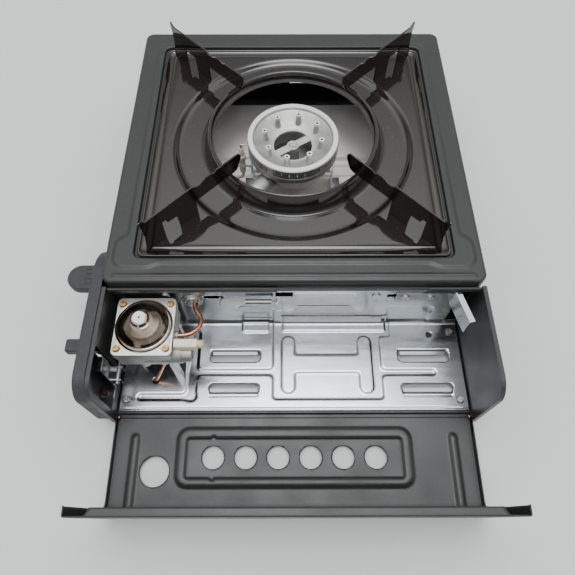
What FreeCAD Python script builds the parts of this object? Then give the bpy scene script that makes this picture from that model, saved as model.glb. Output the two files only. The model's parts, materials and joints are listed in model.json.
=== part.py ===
"""Portable cartridge camping stove, one STEP file per sub-part. Millimetres.

Frame: the origin lies on the table under the burner's axis. +Z is up, +X is to the right of a cook
who faces the cartridge compartment, and -Y points from the burner to that cook. The knob and the lock
lever are on the -X side. The cartridge cover stands open, as far as it goes.
"""
import FreeCAD
import Part
import math
import os

from FreeCAD import Vector

# Body
SHEET = 0.8                 # painted steel sheet
TOP_Z = 77.0                # upper face of the top plate
TOP_HALF_X = 135.0
SKIRT_Z = 65.0              # lower edge of the top plate's skirt
BAY_HALF_Y = 132.0          # the burner bay runs from -132 to +132
WALL_X = 132.0              # outer face of the base pan's walls, and inner face of the end plates
FRONT_Y = -211.5            # front of the cartridge compartment
PAN_Z = 5.0                 # underside of the base pan, on its feet
FLOOR_Z = 8.0               # upper face of the cartridge tray
BACK_WALL_Y = -132.0        # front face of the cartridge tray's back wall
ZINC = 0.6                  # galvanised sheet
RAIL_TOP = 70.0             # upper face of the rail, 0.5 mm below the closed cover's edge

# Drip tray and the opening that it lies in
OPEN_X = 114.7
OPEN_Y = 112.0
OPEN_CY = -1.0              # the opening sits 1 mm nearer the cook than the burner
TRAY_Z = 76.0               # upper face of the drip tray's flat
TRAY_GAP = 1.8              # the dark gap round the drip tray
STEP_R = 97.0               # round step in the drip tray
COLLAR_R = 66.5             # crest of the collar round the burner hole
COLLAR_Z = 88.7

# Cartridge cover, drawn closed and then opened
HINGE_Y = -208.5
HINGE_Z = 7.5
COVER_HALF_X = 131.3
COVER_TOP = 69.0            # from the hinge up to the closed cover's upper face
COVER_FRONT = 3.0           # from the hinge out to the closed cover's front face
COVER_BACK = 75.5           # from the hinge back to the closed cover's free edge
COVER_BEND = 12.0
COVER_OPEN = 93.4           # opening angle in degrees
PIN_R = 1.5

# Cartridge, knob, lever and slide
PORT_Y = -171.0
PORT_Z = 42.0
PORT_X = -73.0              # face that the cartridge meets
GOV_X = -106.0
GOV_Y = -156.5
GOV_HALF_X = 21.0           # the governor's plates are 42 x 44 mm
GOV_HALF_Y = 22.0
GOV_LOW = 36.0              # underside of the governor's body
GOV_TOP = 57.0
KNOB_Y = -112.0
KNOB_Z = 45.0
STEM_R = 2.5
PANEL_IN = -135.0
PANEL_OUT = -143.5
SHAFT_X = -127.5
SHAFT_Z = 31.0
SHAFT_R = 1.6
LEVER_Y = -170.0
LEDGE_Z = 20.0              # ledge outside the left end plate that carries the lever's bracket
CRANK = 24.0                # crank arm, from the shaft to its pin
CRANK_REST = 25.0           # the crank leans this far from upright, towards the burner
BAR_Y = -129.0              # middle of the slide bar, behind the tray's back wall
PUSH_X = 115.0              # pusher face when the cartridge is free

# Burner
RIM_R = 37.3
RIM_Z = 80.0
DISH_Z = 70.0               # recessed floor inside the burner's rim
JET_R = 23.5
JETS = 8
BOWL_SIDE = [(0, 45), (26, 45), (28, 47.5), (34.5, 64), (37.0, 66.0), (37.0, 69.4), (36.6, 70.0)]
TUBE_Z = 54.0               # axis of the mixing tube
TUBE_DIR = Vector(0.649, 0.761, 0)
SHIELD_Z = 20.0             # heat shield's lower flat

RUN = 0.05                  # radial clearance of a shaft in its bore


def box(x0, x1, y0, y1, z0, z1):
    return Part.makeBox(x1 - x0, y1 - y0, z1 - z0, Vector(x0, y0, z0))


def rod(radius, start, end):
    """Solid cylinder between two points."""
    a = Vector(*start)
    b = Vector(*end)
    return Part.makeCylinder(radius, (b - a).Length, a, b - a)


def union(shapes):
    return shapes[0].multiFuse(shapes[1:]).removeSplitter()


def cut(shape, tools):
    for tool in tools:
        shape = shape.cut(tool)
    return shape


def plate(points, normal, thickness):
    """Flat plate from a closed outline of 3-D points."""
    face = Part.Face(Part.makePolygon([Vector(*p) for p in points + points[:1]]))
    return face.extrude(Vector(*normal) * thickness)


def prism_yz(points, x0, x1):
    return plate([(x0, y, z) for y, z in points], (1, 0, 0), x1 - x0)


def rounded_box(half_x, half_y, z0, z1, radius, centre_y=0.0, centre_x=0.0):
    block = box(centre_x - half_x, centre_x + half_x, centre_y - half_y, centre_y + half_y, z0, z1)
    upright = [e for e in block.Edges if abs(e.Vertexes[0].Z - e.Vertexes[1].Z) > 0.5 * (z1 - z0)]
    return block.makeFillet(radius, upright)


def offset_side(points, thickness):
    """The open outline moved sideways by a sheet's thickness, with mitred corners."""
    moved = []
    for i, (u, v) in enumerate(points):
        before = points[max(i - 1, 0)]
        here = points[min(i, len(points) - 2)]
        after = points[min(i + 1, len(points) - 1)]
        a = Vector(u - before[0], v - before[1], 0) if i else Vector(after[0] - u, after[1] - v, 0)
        b = Vector(after[0] - here[0], after[1] - here[1], 0)
        a.normalize()
        b.normalize()
        bisector = Vector(-a.y - b.y, a.x + b.x, 0)
        bisector.normalize()
        reach = thickness / (bisector.x * -a.y + bisector.y * a.x)
        moved.append((u + reach * bisector.x, v + reach * bisector.y))
    return moved


def sheet_outline(points, thickness):
    return points + offset_side(points, thickness)[::-1]


def revolve(outline):
    """Solid of revolution about Z from a closed outline of (radius, z)."""
    wire = Part.makePolygon([Vector(r, 0, z) for r, z in outline + outline[:1]])
    return Part.Face(wire).revolve(Vector(0, 0, 0), Vector(0, 0, 1), 360)


def arc_points(cx, cy, radius, start, end, steps):
    turns = [math.radians(start + (end - start) * i / steps) for i in range(steps + 1)]
    return [(cx + radius * math.cos(t), cy + radius * math.sin(t)) for t in turns]


def bent_tube(points, radius, name):
    """Round tube along straight runs joined by arcs as large as the runs allow."""
    at = [Vector(*p) for p in points]
    edges = []
    start = at[0]
    length = 0.0
    for before, here, after in zip(at, at[1:], at[2:]):
        u = (here - before).normalize()
        v = (after - here).normalize()
        half_turn = u.getAngle(v) / 2
        back = 0.45 * min((here - before).Length, (after - here).Length)
        bend = back / math.tan(half_turn)
        first = here - u * back
        last = here + v * back
        inward = (v - u).normalize()
        middle = here + inward * (bend / math.cos(half_turn) - bend)
        edges.append(Part.LineSegment(start, first).toShape())
        edges.append(Part.Arc(first, middle, last).toShape())
        length += (first - start).Length + bend * 2 * half_turn
        print(name, "bend radius", round(bend, 1))
        start = last
    edges.append(Part.LineSegment(start, at[-1]).toShape())
    length += (at[-1] - start).Length
    circle = Part.makeCircle(radius, at[0], at[1] - at[0])
    solid = Part.Wire(edges).makePipeShell([Part.Wire([circle])], True, False)
    expected = math.pi * radius ** 2 * length
    print(name, "length", round(length, 1), "volume ratio", round(solid.Volume / expected, 4))
    return solid


def save(name, shapes):
    whole = shapes[0] if len(shapes) == 1 else Part.makeCompound(shapes)
    if not whole.isValid():
        raise RuntimeError(name + " is not valid")
    whole.exportStep("parts/" + name + ".step")
    low = whole.BoundBox
    print("%-20s %2d solids  x %.1f %.1f  y %.1f %.1f  z %.1f %.1f" % (
        name, len(whole.Solids), low.XMin, low.XMax, low.YMin, low.YMax, low.ZMin, low.ZMax))


# ---------------------------------------------------------------- body shell

def base_pan():
    """Pressed pan: floor under the whole stove, walls round the burner bay, vents in walls and floor."""
    low = PAN_Z
    high = TOP_Z - 2
    back = BAY_HALF_Y - 1.8
    half_y = (back - BACK_WALL_Y - 1) / 2
    middle = back - half_y
    bay = rounded_box(WALL_X, half_y, low, high, 6, middle)
    bay = bay.cut(rounded_box(WALL_X - SHEET, half_y - SHEET, low + SHEET, high + 1, 5.2, middle))
    bay = bay.cut(box(-WALL_X - 1, WALL_X + 1, BACK_WALL_Y, BACK_WALL_Y + 8, low - 1, high + 1))
    seam = (BACK_WALL_Y + 4, BACK_WALL_Y + 8)
    sides = [box(x, x + SHEET, *seam, low, high) for x in (-WALL_X, WALL_X - SHEET)]
    floor = box(-WALL_X, WALL_X, FRONT_Y + 6.4, BACK_WALL_Y + 8, low, low + SHEET)
    pan = union([bay, floor] + sides)
    vents = []
    for i in range(6):
        y = -60 + 26 * i
        vents.append(box(-WALL_X - 1, WALL_X + 1, y, y + 16, 22, 27))
        vents.append(box(-WALL_X - 1, WALL_X + 1, y, y + 16, 34, 39))
        x = -80 + 26 * i
        vents.append(box(x, x + 18, back - 3, back + 1, 22, 27))
        vents.append(box(x, x + 18, back - 3, back + 1, 34, 39))
        vents.append(box(x, x + 18, 108, 114, low - 1, low + 2))
        vents.append(box(x, x + 18, -64, -58, low - 1, low + 2))
    for x0, x1 in WINDOW_X:
        for y0, y1 in WINDOW_Y:
            vents.append(box(x0 - 1, x1 + 1, y0 - 1, y1 + 2.5, low - 1, low + 2))
    vents.append(rod(4.5, (-WALL_X - 1, KNOB_Y, KNOB_Z), (-WALL_X + 2, KNOB_Y, KNOB_Z)))
    return cut(pan, vents)


def rubber_feet():
    feet = []
    for x in (-122, 122):
        for y in (-197.6, 108):
            foot = Part.makeCone(6, 7, PAN_Z, Vector(x, y, 0))
            feet.append(foot.makeFillet(0.8, [e for e in foot.Edges if e.BoundBox.ZMax < 0.1]))
    return feet


def top_plate():
    """Pressed top with a skirt, and a lower ledge round the opening that carries the drip tray."""
    outer = rounded_box(TOP_HALF_X, BAY_HALF_Y, SKIRT_Z, TOP_Z, 7)
    outer = outer.makeFillet(2.2, [e for e in outer.Edges if e.BoundBox.ZMin > TOP_Z - 0.1])
    inner = rounded_box(TOP_HALF_X - SHEET, BAY_HALF_Y - SHEET, SKIRT_Z - 1, TOP_Z - SHEET, 6.2)
    inner = inner.makeFillet(1.4, [e for e in inner.Edges if e.BoundBox.ZMin > TOP_Z - SHEET - 0.1])
    shell = outer.cut(inner)
    ledge_top = TRAY_Z - SHEET - 0.3
    ledge_low = ledge_top - SHEET
    well = rounded_box(OPEN_X + SHEET, OPEN_Y + SHEET, ledge_low, TOP_Z - 0.3, 6.8, OPEN_CY)
    well = well.cut(rounded_box(OPEN_X, OPEN_Y, ledge_top, TOP_Z + 1, 6, OPEN_CY))
    well = well.cut(rounded_box(OPEN_X - 9, OPEN_Y - 9, ledge_low - 1, TOP_Z, 6, OPEN_CY))
    opening = rounded_box(OPEN_X, OPEN_Y, ledge_top, TOP_Z + 1, 6, OPEN_CY)
    return union([shell.cut(opening), well])


def front_rail():
    """Folded rail under the top plate's front edge. The closed cover's free edge rests over it."""
    front = BACK_WALL_Y - 2.8
    rear = BACK_WALL_Y - 0.8
    ends = box(-WALL_X, WALL_X, front, rear, 65.4, RAIL_TOP)
    ends = ends.makeFillet(0.9, [e for e in ends.Edges if e.Length > 100 and e.BoundBox.YMax < front + 0.1])
    hollow = box(-WALL_X - 1, WALL_X + 1, front + SHEET, rear + 1, 66.2, RAIL_TOP - SHEET)
    ends = cut(ends, [hollow, box(-12, 95, front - 1, rear + 1, 65, 72)])
    middle = sheet_outline([(front + 0.8, 66.4), (front + 0.8, RAIL_TOP), (rear, RAIL_TOP)], -SHEET)
    return ends.Solids + [prism_yz(middle, -11.6, 94.6)]


def end_plate(side):
    """Side wall of the cartridge compartment, with a rim flange turned outward."""
    top = TOP_Z - 5
    radius = 14
    low = 4.5
    front = FRONT_Y
    back = BACK_WALL_Y - 1
    tail = BACK_WALL_Y + 10
    under_top = SKIRT_Z - 0.5
    corner = arc_points(front + radius, top - radius, radius, 180, 90, 12)
    outline = [(front, low)] + corner + [(back, top), (back, under_top), (tail, under_top), (tail, low)]
    sheet = prism_yz(outline, WALL_X, WALL_X + 1)
    rim_path = [(front, low)] + corner + [(back, top)]
    rim = prism_yz(sheet_outline(rim_path, -1.0), WALL_X, WALL_X + 3)
    solid = union([sheet, rim])
    solid = solid.cut(rod(PIN_R, (WALL_X - 1, HINGE_Y, HINGE_Z), (WALL_X + 9, HINGE_Y, HINGE_Z)))
    if side > 0:
        return solid
    solid = solid.mirror(Vector(0, 0, 0), Vector(1, 0, 0))
    slot = box(-WALL_X - 2, -WALL_X + 1, LEVER_Y - 1.8, LEVER_Y + 1.8, 24, 45)
    corners = [(-206, LEDGE_Z), (-206, 62), (-197, 70.9), (-176.5, 70.9), (-176.5, LEDGE_Z)]
    window = prism_yz(corners, -WALL_X - 2, -WALL_X + 1)
    ledge = box(-141, -WALL_X - 0.5, -206, -176.5, LEDGE_Z - 1, LEDGE_Z)
    return union([cut(solid, [slot, window]), ledge])


def hinge_pins():
    pins = []
    for side in (-1, 1):
        spans = [(PIN_R, 130.2, WALL_X + 1.4), (2.0, 129.0, 130.3), (1.9, WALL_X + 1.0, WALL_X + 1.8)]
        rods = [rod(r, (side * x0, HINGE_Y, HINGE_Z), (side * x1, HINGE_Y, HINGE_Z)) for r, x0, x1 in spans]
        pins.append(union(rods))
    return pins


# ---------------------------------------------------------------- cartridge compartment

FLOOR_SCREWS = [(-125.9, -195.3), (124.9, -195.9), (124.9, -140.6)]
WINDOW_X = [(-65.3, -26.0), (81.5, 121.7)]      # louvred windows in the floor
WINDOW_Y = [(-189.6, -182.7), (-165.8, -157.4)]


def cartridge_tray():
    """Galvanised floor and back wall in one sheet, with louvred openings and slots."""
    bottom = FLOOR_Z - ZINC
    front = FRONT_Y + 7.8
    wall = BACK_WALL_Y
    bend = arc_points(wall - 3, FLOOR_Z + 3, 3, -90, 0, 5)
    path = [(front, PAN_Z + SHEET), (front, FLOOR_Z)] + bend + [(wall, SKIRT_Z - 0.2)]
    sheet = prism_yz(sheet_outline(path, -ZINC), -131.2, 131.2)
    holes = []
    for x0, x1 in WINDOW_X:
        holes += [box(x0, x1, y0, y1, bottom - 1, FLOOR_Z + 1) for y0, y1 in WINDOW_Y]
    holes.append(rod(2.2, (108.6, -143.1, bottom - 1), (108.6, -143.1, FLOOR_Z + 1)))
    holes.append(rod(2.4, (-105.8, -180.5, bottom - 1), (-105.8, -180.5, FLOOR_Z + 1)))
    holes += [rod(1.5, (x, y, bottom - 1), (x, y, FLOOR_Z + 1)) for x, y in FLOOR_SCREWS]
    wall_slots = [(-66.8, -52.0, 50.2, 55.6), (-13.6, -0.8, 55.0, 62.4), (121.8, 132, 12.5, 66)]
    wall_slots += [(x - 12.6, x + 2.4, 52.5, 57.5) for x in SLIDE_PINS]
    holes += [box(x0, x1, wall - 1, wall + 2, z0, z1) for x0, x1, z0, z1 in wall_slots]
    holes.append(rod(SHAFT_R + RUN, (SHAFT_X, wall - 1, SHAFT_Z), (SHAFT_X, wall + 2, SHAFT_Z)))
    holes.append(rod(6.0, (TUBE_HOLE[0], wall - 1, TUBE_HOLE[2]), (TUBE_HOLE[0], wall + 2, TUBE_HOLE[2])))
    holes += [rod(2.0, (x, wall - 1, 55), (x, wall + 2, 55)) for x in GUIDE_X]
    return cut(sheet, holes)


def floor_screws():
    screws = []
    for x, y in FLOOR_SCREWS:
        head = Part.makeCone(3.2, 2.4, 1.6, Vector(x, y, FLOOR_Z))
        shank = rod(1.5, (x, y, PAN_Z + SHEET), (x, y, FLOOR_Z + 0.2))
        screw = union([head, shank])
        for w, d in ((2.0, 0.35), (0.35, 2.0)):
            screw = screw.cut(box(x - w, x + w, y - d, y + d, FLOOR_Z + 0.8, FLOOR_Z + 2))
        screws.append(screw)
    return screws


def heat_shield():
    """Galvanised plate under the burner: a raised flat behind, ribs in front, folded down at its ends."""
    z = SHIELD_Z
    ribs = []
    for y in (-11.5, 10.5, 22):
        ribs += [(y - 2.5, z), (y - 1.2, z + 1.8), (y + 1.2, z + 1.8), (y + 2.5, z)]
    foot = PAN_Z + SHEET
    path = [(-40, foot), (-40, z)] + ribs + [(27, z), (28.5, z + 4), (96, z + 4), (96, foot)]
    return prism_yz(sheet_outline(path, -ZINC), -96, 96)


# ---------------------------------------------------------------- burner

def burner_bowl():
    inner = [(33.8, 70.0), (33.6, 66.5), (24.5, 48.5), (5.5, 48.5), (5.5, 67.5), (0, 67.5)]
    bowl = revolve(BOWL_SIDE + inner)
    bowl = bowl.cut(rod(2.0, (0, 0, 50), (0, 0, 76)))
    start, end = tube_ends()
    return bowl.cut(Part.makeCylinder(6.6, (end - start).Length + 8, start, TUBE_DIR))


def burner_cap():
    """Cast cap: rim, sloping dish with eight small jets, a bridged centre opening, and ports round the side."""
    low = DISH_Z - 2.1
    outline = [(15.8, low), (23.0, low), (31.0, 73.6), (33.6, 76.4), (35.2, 76.4), (35.2, 70.0), (36.4, 70.0)]
    outline += [(36.4, 76.6), (RIM_R, 77.0), (RIM_R, 79.2), (36.5, RIM_Z), (32.9, RIM_Z), (32.2, 79.3)]
    ring = revolve(outline + [(31.8, 78.0), (24.5, 73.4), (18.5, DISH_Z + 0.2), (15.8, DISH_Z)])
    bridge = box(-16.5, 16.5, -3.3, 3.3, low, DISH_Z - 0.4)
    bridge.rotate(Vector(0, 0, 0), Vector(0, 0, 1), 33)
    boss = Part.makeCone(5.4, 4.8, DISH_Z + 0.2 - low, Vector(0, 0, low))
    cap = union([ring, bridge, boss])
    drills = [rod(2.2, (0, 0, low - 1), (0, 0, DISH_Z + 3))]
    jets = []
    for i in range(JETS):
        turn = math.radians(-12 + 360 / JETS * i)
        x = JET_R * math.cos(turn)
        y = JET_R * math.sin(turn)
        foot = Part.makeCone(3.1, 2.2, 6.5, Vector(x, y, DISH_Z + 0.8))
        jets.append(foot.fuse(rod(2.2, (x, y, DISH_Z + 7.2), (x, y, RIM_Z + 1.6))))
        drills.append(rod(1.1, (x, y, low - 1), (x, y, RIM_Z + 3)))
    cap = cut(union([cap] + jets), drills)
    ports = []
    for i in range(36):
        port = box(34.6, 40, -0.45, 0.45, 71.2, 75.4)
        port.rotate(Vector(0, 0, 0), Vector(0, 0, 1), 10 * i + 5)
        ports.append(port)
    return cap.cut(Part.makeCompound(ports))


def burner_screw():
    z = DISH_Z + 0.2
    head = Part.makeCone(3.6, 2.6, 1.6, Vector(0, 0, z))
    screw = union([head, rod(2.0, (0, 0, 50.5), (0, 0, z + 0.2))])
    for w, d in ((2.2, 0.4), (0.4, 2.2)):
        screw = screw.cut(box(-w, w, -d, d, z + 0.8, z + 2))
    return screw


def tube_ends():
    """Axis of the mixing tube, from its bell mouth to inside the burner bowl."""
    end = Vector(0, 0, TUBE_Z) - TUBE_DIR * 28
    start = Vector(0, 0, TUBE_Z) - TUBE_DIR * 122
    return start, end


def mixing_tube():
    start, end = tube_ends()
    length = (end - start).Length
    body = Part.makeCylinder(8.4, length + 6, start, TUBE_DIR)
    bell = Part.makeCone(12.5, 8.4, 14, start, TUBE_DIR)
    throat = Part.makeCylinder(6.6, length + 8, start - TUBE_DIR, TUBE_DIR)
    mouth = Part.makeCone(11.3, 6.6, 12, start, TUBE_DIR)
    bowl = revolve(BOWL_SIDE + [(0, 70)])
    return cut(body.fuse(bell), [throat, mouth, bowl])


def burner_bracket():
    """Strap under the burner bowl, with two legs down to the heat shield."""
    strap = box(-34, 34, -7, 7, 43.8, 45.0)
    legs = [box(s * 34 - 0.6, s * 34 + 0.6, -7, 7, SHIELD_Z, 45.0) for s in (-1, 1)]
    feet = [box(s * 38 - 4.6, s * 38 + 4.6, -7, 7, SHIELD_Z, SHIELD_Z + 1.2) for s in (-1, 1)]
    return union([strap] + legs + feet)


# ---------------------------------------------------------------- ignition

ELECTRODE = (-43.0, -3.0)


def electrode_ceramic():
    x, y = ELECTRODE
    body = union([rod(2.6, (x, y, 42), (x, y, 66)), rod(3.6, (x, y, 58), (x, y, 62)),
                  Part.makeCone(2.6, 1.7, 4, Vector(x, y, 66))])
    return body.cut(rod(0.9, (x, y, 41), (x, y, 71)))


def electrode_pin():
    x, y = ELECTRODE
    stem = rod(0.9, (x, y, 42), (x, y, 73.2))
    tip = rod(0.9, (x - 0.6, y, 73.2), (x + 4.2, y, 73.2))
    return union([stem, tip])


def electrode_bracket():
    """Zinc arm from the burner strap that clips round the ceramic."""
    x, y = ELECTRODE
    arm = box(x - 4.6, -34.6, y - 3, y + 3, 50, 53)
    drop = box(-36.0, -34.6, y - 3, y + 3, 40, 53)
    return union([arm, drop]).cut(rod(2.6, (x, y, 48), (x, y, 56)))


WIRE_ROUTE = [(-121.5, -58.5, 50), (-121.5, -40, 50), (-112, -22, 44), (-92, -8, 36), (-68, -2, 32),
              (-50, -2, 31), (-43, -3, 35), (-43, -3, 41.9)]


def ignition_wire():
    return bent_tube(WIRE_ROUTE, 1.3, "ignition_wire")


IGNITER = (-121.5, 50.0)    # x and z of the piezo igniter's axis


def piezo_igniter():
    """Spring hammer igniter in a plastic barrel, behind the knob stem."""
    x, z = IGNITER
    barrel = union([rod(6, (x, -93, z), (x, -60, z)), rod(4, (x, -60.2, z), (x, -58.5, z))])
    return barrel.cut(rod(3.0 + RUN, (x, -94, z), (x, -72, z)))


def igniter_plunger():
    x, z = IGNITER
    shank = rod(3.0, (x, -99.5, z), (x, -80.5, z))
    nose = Part.makeSphere(3.0, Vector(x, -99.5, z))
    return union([shank, nose])


def igniter_clip():
    """Strap that holds the igniter on the base pan's wall."""
    x, z = IGNITER
    wall = -WALL_X + SHEET
    strap = box(wall, x + 8, -78, -68, z - 7.4, z + 7.4).cut(rod(6, (x, -80, z), (x, -66, z)))
    return strap.cut(box(x + 1, x + 9, -80, -66, z - 5, z + 5))


# ---------------------------------------------------------------- gas valve and governor

def valve_body():
    block = box(-114, -97, -122, -102, 36, 62)
    start = valve_outlet()
    outlet = Part.makeCylinder(5.5, 12, start, TUBE_DIR)
    inlet = rod(3.2, (-98, -112, 42), (-92, -112, 42))
    collar = rod(7, (-118, KNOB_Y, KNOB_Z), (-113, KNOB_Y, KNOB_Z))
    bore = rod(STEM_R + RUN, (-119, KNOB_Y, KNOB_Z), (-103, KNOB_Y, KNOB_Z))
    thread = Part.makeCylinder(2.6, 5, start + TUBE_DIR * 7.5, TUBE_DIR)
    tube_seat = rod(1.8, (-95, -112, 42), (-91, -112, 42))
    return cut(union([block, outlet, inlet, collar]), [bore, thread, tube_seat])


def valve_outlet():
    return Vector(0, 0, TUBE_Z) - TUBE_DIR * 152


def gas_jet():
    start = valve_outlet() + TUBE_DIR * 7.5
    shank = Part.makeCylinder(2.6, 5, start, TUBE_DIR)
    nose = Part.makeCone(4.0, 2.0, 7, start + TUBE_DIR * 4.5, TUBE_DIR)
    orifice = Part.makeCylinder(0.5, 14, start - TUBE_DIR, TUBE_DIR)
    return union([shank, nose]).cut(orifice)


def valve_bracket():
    """Foot that carries the valve on the base pan."""
    floor = PAN_Z + SHEET
    foot = box(-112, -99, -119, -105, floor, floor + 1.2)
    web = box(-106.2, -104.8, -119, -105, floor, 36)
    return union([foot, web])


def governor_body():
    """Lower half: cast block under a square flange, a low boss, and the passage to the cartridge port."""
    flange = governor_plate(50.0, 54.6)
    block = rounded_box(GOV_HALF_X - 0.6, GOV_HALF_Y - 0.6, GOV_LOW, 50.2, 4, GOV_Y, GOV_X)
    block = block.makeFillet(1.5, [e for e in block.Edges if e.BoundBox.ZMax < GOV_LOW + 0.1])
    boss = rod(6, (GOV_X - 2.5, GOV_Y - 15, GOV_LOW - 5), (GOV_X - 2.5, GOV_Y - 15, GOV_LOW + 1))
    neck = rod(7.5, (GOV_X, PORT_Y, PORT_Z), (-82, PORT_Y, PORT_Z))
    chamber = Part.makeCylinder(16, 14, Vector(GOV_X, GOV_Y, 41))
    passage = rod(1.2, (GOV_X + 5, PORT_Y, PORT_Z), (-84, PORT_Y, PORT_Z))
    tube_y, tube_z = TUBE_ROUTE[0][1:]
    outlet = rod(3.4, (GOV_X + 12, tube_y, tube_z), TUBE_ROUTE[0])
    tube_seat = rod(1.8, (GOV_X + 15, tube_y, tube_z), (-80, tube_y, tube_z))
    port_seat = rod(7.5, (-84.5, PORT_Y, PORT_Z), (-80, PORT_Y, PORT_Z))
    body = union([flange, block, boss, neck, outlet])
    return cut(body, [chamber, passage, tube_seat, port_seat] + screw_shanks(49, 58))


def governor_plate(z0, z1):
    return rounded_box(GOV_HALF_X, GOV_HALF_Y, z0, z1, 3.5, GOV_Y, GOV_X)


def screw_places():
    return [(GOV_X + i * 17.0, GOV_Y + j * 17.0) for i in (-1, 1) for j in (-1, 1)]


def screw_shanks(z0, z1):
    return [rod(1.3, (x, y, z0), (x, y, z1)) for x, y in screw_places()]


def governor_cover():
    """Upper half: pressed dome with a shoulder and a small top boss, on a square flange."""
    flange = governor_plate(55.0, GOV_TOP)
    outline = [(0, 57), (20.2, 57), (20.2, 57.6), (19.4, 58.6), (17.6, 59.0), (17.2, 61.0), (13.6, 65.0)]
    outline += [(8.0, 68.0), (6.2, 68.6), (5.6, 71.2), (4.4, 72.0), (0, 72.0)]
    dome = revolve(outline)
    inner = revolve([(0, 54), (17.0, 54), (17.0, 58.0), (16.0, 60.4), (12.9, 64.0), (7.6, 66.8), (0, 67.0)])
    middle = Vector(GOV_X, GOV_Y, 0)
    dome.translate(middle)
    inner.translate(middle)
    vent = rod(0.6, (GOV_X, GOV_Y, 60), (GOV_X, GOV_Y, 74))
    return cut(union([flange, dome]), [inner, vent] + screw_shanks(54, 58))


def governor_diaphragm():
    disc = governor_plate(54.6, 55.0)
    return cut(disc, screw_shanks(54, 58))


def governor_spring():
    """The spring under the dome, drawn as its outer sleeve."""
    sleeve = rod(5, (GOV_X, GOV_Y, 55.4), (GOV_X, GOV_Y, 66.4))
    return sleeve.cut(rod(3.8, (GOV_X, GOV_Y, 55), (GOV_X, GOV_Y, 67)))


def governor_screws():
    screws = []
    for x, y in screw_places():
        head = Part.makeCone(2.9, 2.2, 1.8, Vector(x, y, GOV_TOP))
        screw = union([head, rod(1.3, (x, y, 50.5), (x, y, GOV_TOP + 0.1))])
        for w, d in ((1.9, 0.35), (0.35, 1.9)):
            screw = screw.cut(box(x - w, x + w, y - d, y + d, GOV_TOP + 0.9, GOV_TOP + 2))
        screws.append(screw)
    return screws


def inlet_port():
    """Turned port that the cartridge's valve enters."""
    outer = union([rod(7.5, (-84.5, PORT_Y, PORT_Z), (-80, PORT_Y, PORT_Z)),
                   rod(6.6, (-80, PORT_Y, PORT_Z), (PORT_X, PORT_Y, PORT_Z))])
    socket = rod(4.0, (-81, PORT_Y, PORT_Z), (PORT_X + 1, PORT_Y, PORT_Z))
    seat = rod(4.6, (-82, PORT_Y, PORT_Z), (-80.4, PORT_Y, PORT_Z))
    passage = rod(1.2, (-89, PORT_Y, PORT_Z), (-81, PORT_Y, PORT_Z))
    return cut(outer, [socket, seat, passage])


def port_seal():
    seal = rod(4.6, (-82, PORT_Y, PORT_Z), (-80.4, PORT_Y, PORT_Z))
    return seal.cut(rod(1.6, (-83, PORT_Y, PORT_Z), (-80, PORT_Y, PORT_Z)))


def locating_tab():
    """Plastic key that fits the notch in the cartridge's collar."""
    block = box(-84, -68, -172.4, -166, 50, 57)
    block = block.makeFillet(1, [e for e in block.Edges if abs(e.Vertexes[0].X - e.Vertexes[1].X) > 10])
    saddle = box(-84, -80.4, PORT_Y - 3, PORT_Y + 3, PORT_Z + 6, 50.2)
    return cut(union([block, saddle]), [rod(7.5, (-90, PORT_Y, PORT_Z), (-79, PORT_Y, PORT_Z))])


def tab_end():
    """Clear plastic nose of the key."""
    nose = rod(2.9, (-68, -169, 53.8), (-63.3, -169, 53.8))
    return nose.makeFillet(1.2, [e for e in nose.Edges if e.BoundBox.XMin > -63.4])


def governor_standoffs():
    """Two posts under the governor's body, and a thicker one with a saddle under its neck."""
    posts = [rod(2.2, (x, y, FLOOR_Z), (x, y, GOV_LOW)) for x, y in ((-89.5, -141.5), (-118, -166))]
    saddle = rod(3.4, (-88, -175.5, FLOOR_Z), (-88, -175.5, PORT_Z - 2))
    return posts + [cut(saddle, [governor_body(), inlet_port()])]


def relief_tube():
    """Short copper tube from the governor's underside through the compartment floor."""
    return rod(1.5, (-106.1, -180.6, 7.0), (-93.5, -176.0, GOV_LOW + 0.6)).cut(governor_body())


TUBE_HOLE = (-76.0, BACK_WALL_Y, 47.0)
TUBE_AT_WALL = (-74.1, 43.95)       # x and z where the tube passes through the eyelet
TUBE_ROUTE = [(-83.5, -159.5, 46.5), (-75.5, -158.6, 46.0), (-69.0, -153.0, 45.2), (-67.8, -145.0, 44.2),
              (-74.1, -137.0, 43.95), (-74.1, -126.5, 43.95), (-79.5, -119.5, 43.5), (-87.0, -112.0, 42.0),
              (-95.0, -112.0, 42.0)]


def copper_tube():
    return bent_tube(TUBE_ROUTE, 1.7, "copper_tube")


def tube_grommet():
    """Pressed eyelet in the tray's back wall, with raised rings and a hole for the tube below its middle."""
    x, wall, z = TUBE_HOLE
    tube_x, tube_z = TUBE_AT_WALL
    waist = rod(6.0, (x, wall - 0.5, z), (x, wall + 1.0, z))
    front = rod(8.0, (x, wall - 0.7, z), (x, wall, z))
    back = rod(8.0, (x, wall + ZINC, z), (x, wall + 1.3, z))
    ring = rod(6.2, (x, wall - 1.7, z), (x, wall, z)).cut(rod(4.8, (x, wall - 2, z), (x, wall - 0.7, z)))
    button = rod(2.9, (x, wall - 1.7, z), (x, wall, z))
    eyelet = union([waist, front, back, ring, button])
    return eyelet.cut(rod(2.0, (tube_x, wall - 5, tube_z), (tube_x, wall + 5, tube_z)))


# ---------------------------------------------------------------- knob

def panel_outline(inset):
    """Side view of the control panel as (y, z), rounded at its front top corner and at its back end."""
    front = FRONT_Y + inset
    back = -93.0 - inset
    top = TOP_Z - 4 - inset
    low = 15.0 + inset
    corner = 16.0 - inset
    nose = 27.0 - inset
    outline = [(front, low)]
    outline += arc_points(front + corner, top - corner, corner, 180, 90, 10)
    outline += arc_points(back - nose, top - nose, nose, 90, 0, 12)
    return outline + arc_points(back - nose, low + nose, nose, 0, -90, 12)


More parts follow.
